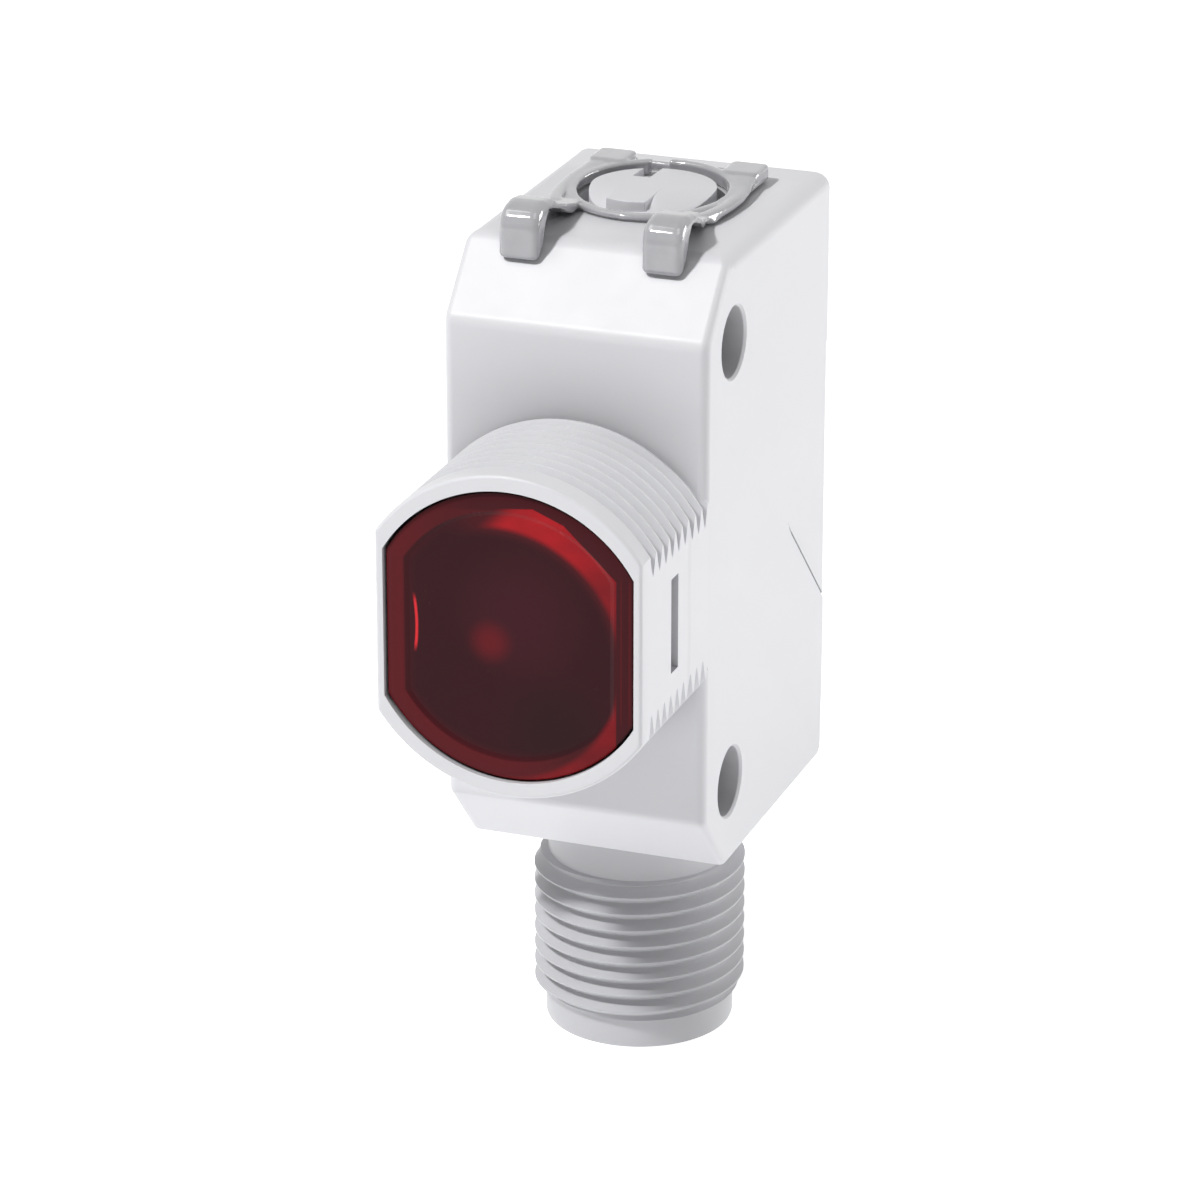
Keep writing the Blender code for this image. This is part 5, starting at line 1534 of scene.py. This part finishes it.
@dataclass
class Adjuster:
    """The adjuster: a domed head with a level pointer and a notch, on a stem with two grooves and a blade."""

    top: float = 18.35
    head: float = 3.5
    flat: float = 1.3
    fall: float = 0.6
    pointer: tuple[float, float] = (-1.6, 0.7)
    notch: tuple[float, float] = (-1.65, -0.65)
    notch_start: float = 1.35
    notch_depth: float = 0.85
    stem: tuple[tuple[float, float], ...] = (
        (1.75, 16.9), (1.75, 16.2), (1.22, 16.2), (1.22, 15.3), (1.75, 15.3), (1.75, 14.15), (1.2, 14.15),
        (1.2, 13.55), (1.75, 13.55), (1.75, 13.1), (0.0, 13.1))
    blade: tuple[float, float] = (1.1, 0.35)

    def level_far_side(self, head: Piece) -> None:
        """Lift the skin round the far side back to the level of the middle.

        Nine tenths of a point's fall, times s * s * (3 - 2 * s), are given back. s runs from 0 at the
        near side to 1 a little beyond the axis: s = (sin(turn) + 0.85) / 0.95, held between 0 and 1.

        Args:
            head: the head, before its pointer is added.
        """
        axis = np.array([0.0, ADJUSTER_BACK, 0.0])
        places = points_of(head) - axis
        reach = np.hypot(places[:, 0], places[:, 1])
        turn = places[:, 1] / np.maximum(reach, 0.01)
        share = np.clip((turn + 0.85) / 0.95, 0.0, 1.0) * (reach > self.flat)
        fall = np.where(places[:, 2] > self.top - self.fall - 0.15, self.top - places[:, 2], 0.0)
        places[:, 2] += 0.9 * fall * share * share * (3 - 2 * share)
        move_points(head, places + axis)

    def tongue(self) -> Piece:
        """The level pointer: a slab to the head's edge, rounded over, with its end on the head's circle.

        Returns:
            The pointer.
        """
        left, right = self.pointer
        reach = math.sqrt((self.head - 0.03) ** 2 - max(abs(left), abs(right)) ** 2)
        corners = [(left, -0.45, 0.0), (left, -reach, 0.05), ((left + right) / 2, -self.head + 0.03, 2.4),
                   (right, -reach - 0.14, 0.05), (right, -0.45, 0.0)]
        return slab("pointer", corners, self.top - 0.75, self.top + 0.02, Axis.Z,
                    [0.05] * 5, (0.0, ADJUSTER_BACK, 0.0), 6, False)

    def build(self, paint: Paintbox) -> None:
        """Make the adjuster and dress it.

        Beyond its level middle the near side falls by fall * share ^ 2, share being the part of the
        way to the edge.

        Args:
            paint: the finishes.
        """
        back, top = ADJUSTER_BACK, self.top
        share = np.linspace(0.0, 1.0, 18)
        radius = np.concatenate([[0.0], self.flat + (self.head - 0.08 - self.flat) * share])
        height = np.concatenate([[top], top - self.fall * share ** 2])
        dome = np.stack([radius, height, np.zeros(19)], axis=-1)
        side = [(self.head, top - self.fall - 0.08, 0.04), (self.head, self.stem[0][1], 0.1)]
        stem = [(radius, height, 0.0) for radius, height in self.stem]
        head = turned("adjuster", [*dome.tolist(), *side, *stem], (0.0, back, 0.0), Axis.Z, 128)
        self.level_far_side(head)
        wide, thick = self.blade
        blade = block("blade", (-wide, back - thick, 12.0), (wide, back + thick, 13.35))
        make_solid(head, Joining.ADD, self.tongue(), blade)
        left, right = self.notch
        make_solid(head, Joining.CUT, block("notch", (left, back + self.notch_start, top - self.notch_depth),
                                            (right, back + 7.0, 20.0)))
        paint.put(shade(head, 26.0), Finish.GREY, KNOB, "adjuster")


@dataclass
class Connector:
    """The plug side: a threaded shell, the insert inside it and four pins."""

    top: float = -15.0
    flange_bottom: float = -15.9
    flange: float = 6.1
    opening: float = 3.7
    end: float = -30.5
    neck: float = 5.2
    end_ring: float = 5.36
    socket: float = 4.2
    floor: float = -22.1
    thread: Thread = Thread(start=-28.8, end=-20.2, crest=6.0, depth=0.62, crest_share=0.10,
                            root_share=0.12, columns=160)
    pin_circle: float = 2.8
    pin_radius: float = 0.5
    pin_top: float = -12.3
    pin_depth: float = 1.2

    def shell(self) -> Piece:
        """The shell: inner wall, end ring, thread, neck and flange as one grid of rings.

        Returns:
            The shell.
        """
        thread = self.thread

        def limit(height: Array) -> Array:
            """Straight lead-ins at both ends of the thread, and its crest between them.

            Args:
                height: heights along the axis.

            Returns:
                The largest radius there.
            """
            lower = self.end_ring + (height - thread.start) / 0.34 * 0.64
            upper = self.neck + (thread.end - height) / 0.42 * 0.8
            return np.minimum(np.minimum(lower, upper), thread.crest)

        x, z, height = thread.rows(limit, lambda h: np.ones(h.shape), lambda h: np.full(h.shape, 99.0))
        outer = lay(x, z, height, Axis.Z)
        turn = np.linspace(0.0, 2 * math.pi, thread.width())[None, :]

        def rings(profile: Points) -> Array:
            """Circles of a profile's radii at its heights.

            Args:
                profile: (radius, height) of each ring.

            Returns:
                Rings of points about the axis.
            """
            table = np.asarray(profile, float)
            radius = table[:, :1]
            return lay(radius * np.cos(turn), radius * np.sin(turn), table[:, 1:2], Axis.Z)

        low, ledge = self.end, self.flange_bottom
        before = rings([(self.opening, self.top), (self.opening, ledge + 0.1), (self.socket, ledge + 0.1),
                        (self.socket, low + 0.3), (self.socket + 0.08, low + 0.1), (self.socket + 0.25, low),
                        (self.end_ring - 0.22, low), (self.end_ring - 0.06, low + 0.06),
                        (self.end_ring, low + 0.22)])
        after = rings([(self.neck, thread.end + 0.02), (self.neck, ledge), (self.flange, ledge),
                       (self.flange, self.top)])
        rows = np.concatenate([before, outer, after]) + np.array([0.0, CONNECTOR_BACK, 0.0])
        shell = grid_object("connector_shell", rows, caps=False, rows_close=True, seam=True)
        flats = [block("flange_flat", (-8, near, ledge - 0.05), (8, far, -14.0))
                 for near, far in ((-8, 6.4), (18.5, 30))]
        return make_solid(shell, Joining.CUT, *flats)

    def insert(self) -> Piece:
        """The insulating insert: a bevelled disc with pin holes and a key groove.

        Returns:
            The insert.
        """
        radius, back = self.socket - 0.1, CONNECTOR_BACK
        low, high = self.floor - 1, self.flange_bottom + 1
        insert = turned("contact_carrier", [(0, self.floor, 0), (radius, self.floor, 0.25),
                                            (radius, self.flange_bottom, 0.0), (0, self.flange_bottom, 0)],
                        (0.0, back, 0.0), Axis.Z, 96)
        holes = [rod("pin_hole", self.pin_radius + 0.06, low, high, Axis.Z, (x, back + y, 0.0), 32)
                 for x, y in self.pin_places()]
        outline = np.array([(3.4, -0.5), (5.2, -0.5), (5.2, 0.5), (3.4, 0.5)])
        turn = math.sqrt(0.5) * np.array([[1.0, 1.0], [-1.0, 1.0]])
        key = prism("key", outline @ turn, low, high, Axis.Z, (0.0, back, 0.0))
        return make_solid(insert, Joining.CUT, *holes, key)

    def pin_places(self) -> list[tuple[float, float]]:
        """The pins' places about the connector's axis."""
        return [(self.pin_circle * math.cos(turn), self.pin_circle * math.sin(turn))
                for turn in (0.0, math.pi / 2, math.pi, 1.5 * math.pi)]

    def build(self, paint: Paintbox) -> None:
        """Make the connector's pieces and dress them.

        Args:
            paint: the finishes.
        """
        paint.put(shade(self.shell()), Finish.PALE, SHELL, "connector_shell")
        paint.put(shade(self.insert()), Finish.BLACK, SHELL, "contact_carrier")
        radius, tip, tail = self.pin_radius, self.end + self.pin_depth, self.pin_top
        profile = [(0.0, tail, 0.0), (radius, tail, 0.12), (radius, tip, 0.34), (0.0, tip, 0.0)]
        for index, (x, y) in enumerate(self.pin_places(), start=1):
            pin = turned(f"contact_pin_{index}", profile, (x, CONNECTOR_BACK + y, 0.0), Axis.Z, 32, 6)
            paint.put(shade(pin), Finish.GOLD, SHELL, f"contact_pin_{index}")


@dataclass
class InnerPieces:
    """The pieces inside, which keep the frame's own meshes."""

    finishes: dict[str, Finish] = field(default_factory=lambda: {
        "lens_gasket": Finish.RUBBER, "light_baffle": Finish.BLACK, "photodiode": Finish.CHIP,
        "shield_can": Finish.TIN, "main_board": Finish.LAMINATE, "controller_chip": Finish.CHIP,
        "output_transistor": Finish.CHIP, "capacitor_a": Finish.TIN, "capacitor_b": Finish.TIN,
        "indicator_board": Finish.LAMINATE, "power_lamp": Finish.GREEN_LAMP,
        "signal_lamp": Finish.YELLOW_LAMP, "board_header": Finish.BLACK, "trimmer_body": Finish.BLACK,
        "trimmer_rotor": Finish.WHITE, "adjuster_o_ring": Finish.RUBBER, "adjuster_clip": Finish.TIN,
        "connector_seal": Finish.RUBBER, "connector_board": Finish.LAMINATE, "board_link": Finish.FILM,
    })

    def build(self, paint: Paintbox) -> None:
        """Give each inner node its finish.

        Args:
            paint: the finishes.
        """
        for name, finish in self.finishes.items():
            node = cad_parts[name]
            if not node.material_slots:
                node.data.materials.append(None)
            for holder in node.material_slots:
                holder.material = paint.of(finish)
        LOG.info("inner pieces: %d nodes dressed", len(self.finishes))


# The studio


@dataclass(frozen=True)
class Lamp:
    """A square soft lamp that faces the sensor.

    Turn is in degrees from straight in front, positive to the right, rise in degrees above the
    sensor, size the side in metres and power in watts.
    """

    name: str
    turn: float
    rise: float
    size: float
    power: float

    def place(self, target: Sequence[float], reach: float) -> None:
        """Put the lamp at its distance from the target, in metres.

        Args:
            target: the point that it faces.
            reach: its distance from there.
        """
        data = bpy.data.lights.new(self.name, "AREA")
        data.size, data.energy = self.size, self.power
        item = bpy.data.objects.new(self.name, data)
        turn, rise = math.radians(self.turn), math.radians(self.rise)
        way = Vector((math.sin(turn) * math.cos(rise), -math.cos(turn) * math.cos(rise), math.sin(rise)))
        item.location = Vector(target) + way * reach
        item.rotation_euler = way.to_track_quat("Z", "Y").to_euler()
        bpy.context.scene.collection.objects.link(item)


@dataclass
class Studio:
    """A pale floor, soft lamps and the camera at the photograph's view."""

    floor_height: float = -30.5
    floor_reach: float = 3000.0
    floor_colour: Colour = (0.86, 0.86, 0.87)
    floor_white: float = 0.74
    floor_light: float = 0.39
    world_light: float = 0.04
    camera_place: tuple[float, float, float] = (0.084430, -0.249400, 0.100430)
    camera_turn: tuple[float, float, float] = (68.735, 0.0, 20.256)
    focal_length: float = 156.34
    sensor_width: float = 36.0
    lamp_target: tuple[float, float, float] = (-0.0075, 0.004, -0.006)
    lamp_reach: float = 0.6
    lamps: tuple[Lamp, ...] = (Lamp("key", -36.0, 52.0, 0.05, 2.2), Lamp("left", -70.0, 58.0, 0.24, 0.45),
                               Lamp("right", 124.0, 8.0, 0.30, 1.95), Lamp("high", 45.0, 62.0, 0.30, 0.35))

    def floor(self) -> None:
        """A wide plain sheet that shows white to the camera and keeps the sensor's shadow."""
        points = np.array([(x * self.floor_reach, y * self.floor_reach, self.floor_height)
                           for x, y in ((-1, -1), (1, -1), (1, 1), (-1, 1))])
        sheet = to_mesh("floor", points, [[0, 1, 2, 3]])
        paper = NodeSheet.new("floor_paper")
        glow = paper.math("MULTIPLY_ADD", paper.shown(), self.floor_white - self.floor_light,
                          self.floor_light)
        paper.set(Base_Color=tone(self.floor_colour), Emission_Color=tone((1.0, 1.0, 1.0)),
                  Roughness=paper.ramp(paper.noise(300.0, 3.0), 0.85, 0.95), Specular_IOR_Level=0.1,
                  Emission_Strength=glow)
        sheet.data.materials.append(paper.owner)

    def world(self) -> None:
        """White to the camera and in reflections, softer as a light."""
        world = bpy.data.worlds.new("studio")
        world.use_nodes = True
        sheet = NodeSheet(world)
        background = world.node_tree.nodes["Background"].inputs
        sheet.plug(tone((1.0, 1.0, 1.0)), background["Color"])
        sheet.plug(sheet.ramp(sheet.shown(), self.world_light, 1.0), background["Strength"])
        bpy.context.scene.world = world

    def camera(self) -> None:
        """The camera that was fitted to the photograph."""
        data = bpy.data.cameras.new("camera")
        data.lens, data.sensor_width = self.focal_length, self.sensor_width
        data.clip_start, data.clip_end = 0.01, 20.0
        item = bpy.data.objects.new("camera", data)
        item.location = self.camera_place
        item.rotation_euler = Euler([math.radians(angle) for angle in self.camera_turn])
        bpy.context.scene.collection.objects.link(item)
        bpy.context.scene.camera = item

    def build(self) -> None:
        """Set the stage."""
        bpy.context.scene.view_settings.view_transform = "Standard"
        self.camera()
        self.world()
        self.floor()
        for lamp in self.lamps:
            lamp.place(self.lamp_target, self.lamp_reach)
        LOG.info("studio ready")


def main() -> None:
    """Build the sensor's pieces and the studio, in order."""
    paint = Paintbox()
    for part in (Housing(), RearCover(), Lens(), IndicatorCover(), Adjuster(), Connector(), InnerPieces()):
        part.build(paint)
    Studio().build()


if __name__ == "__main__":
    main()
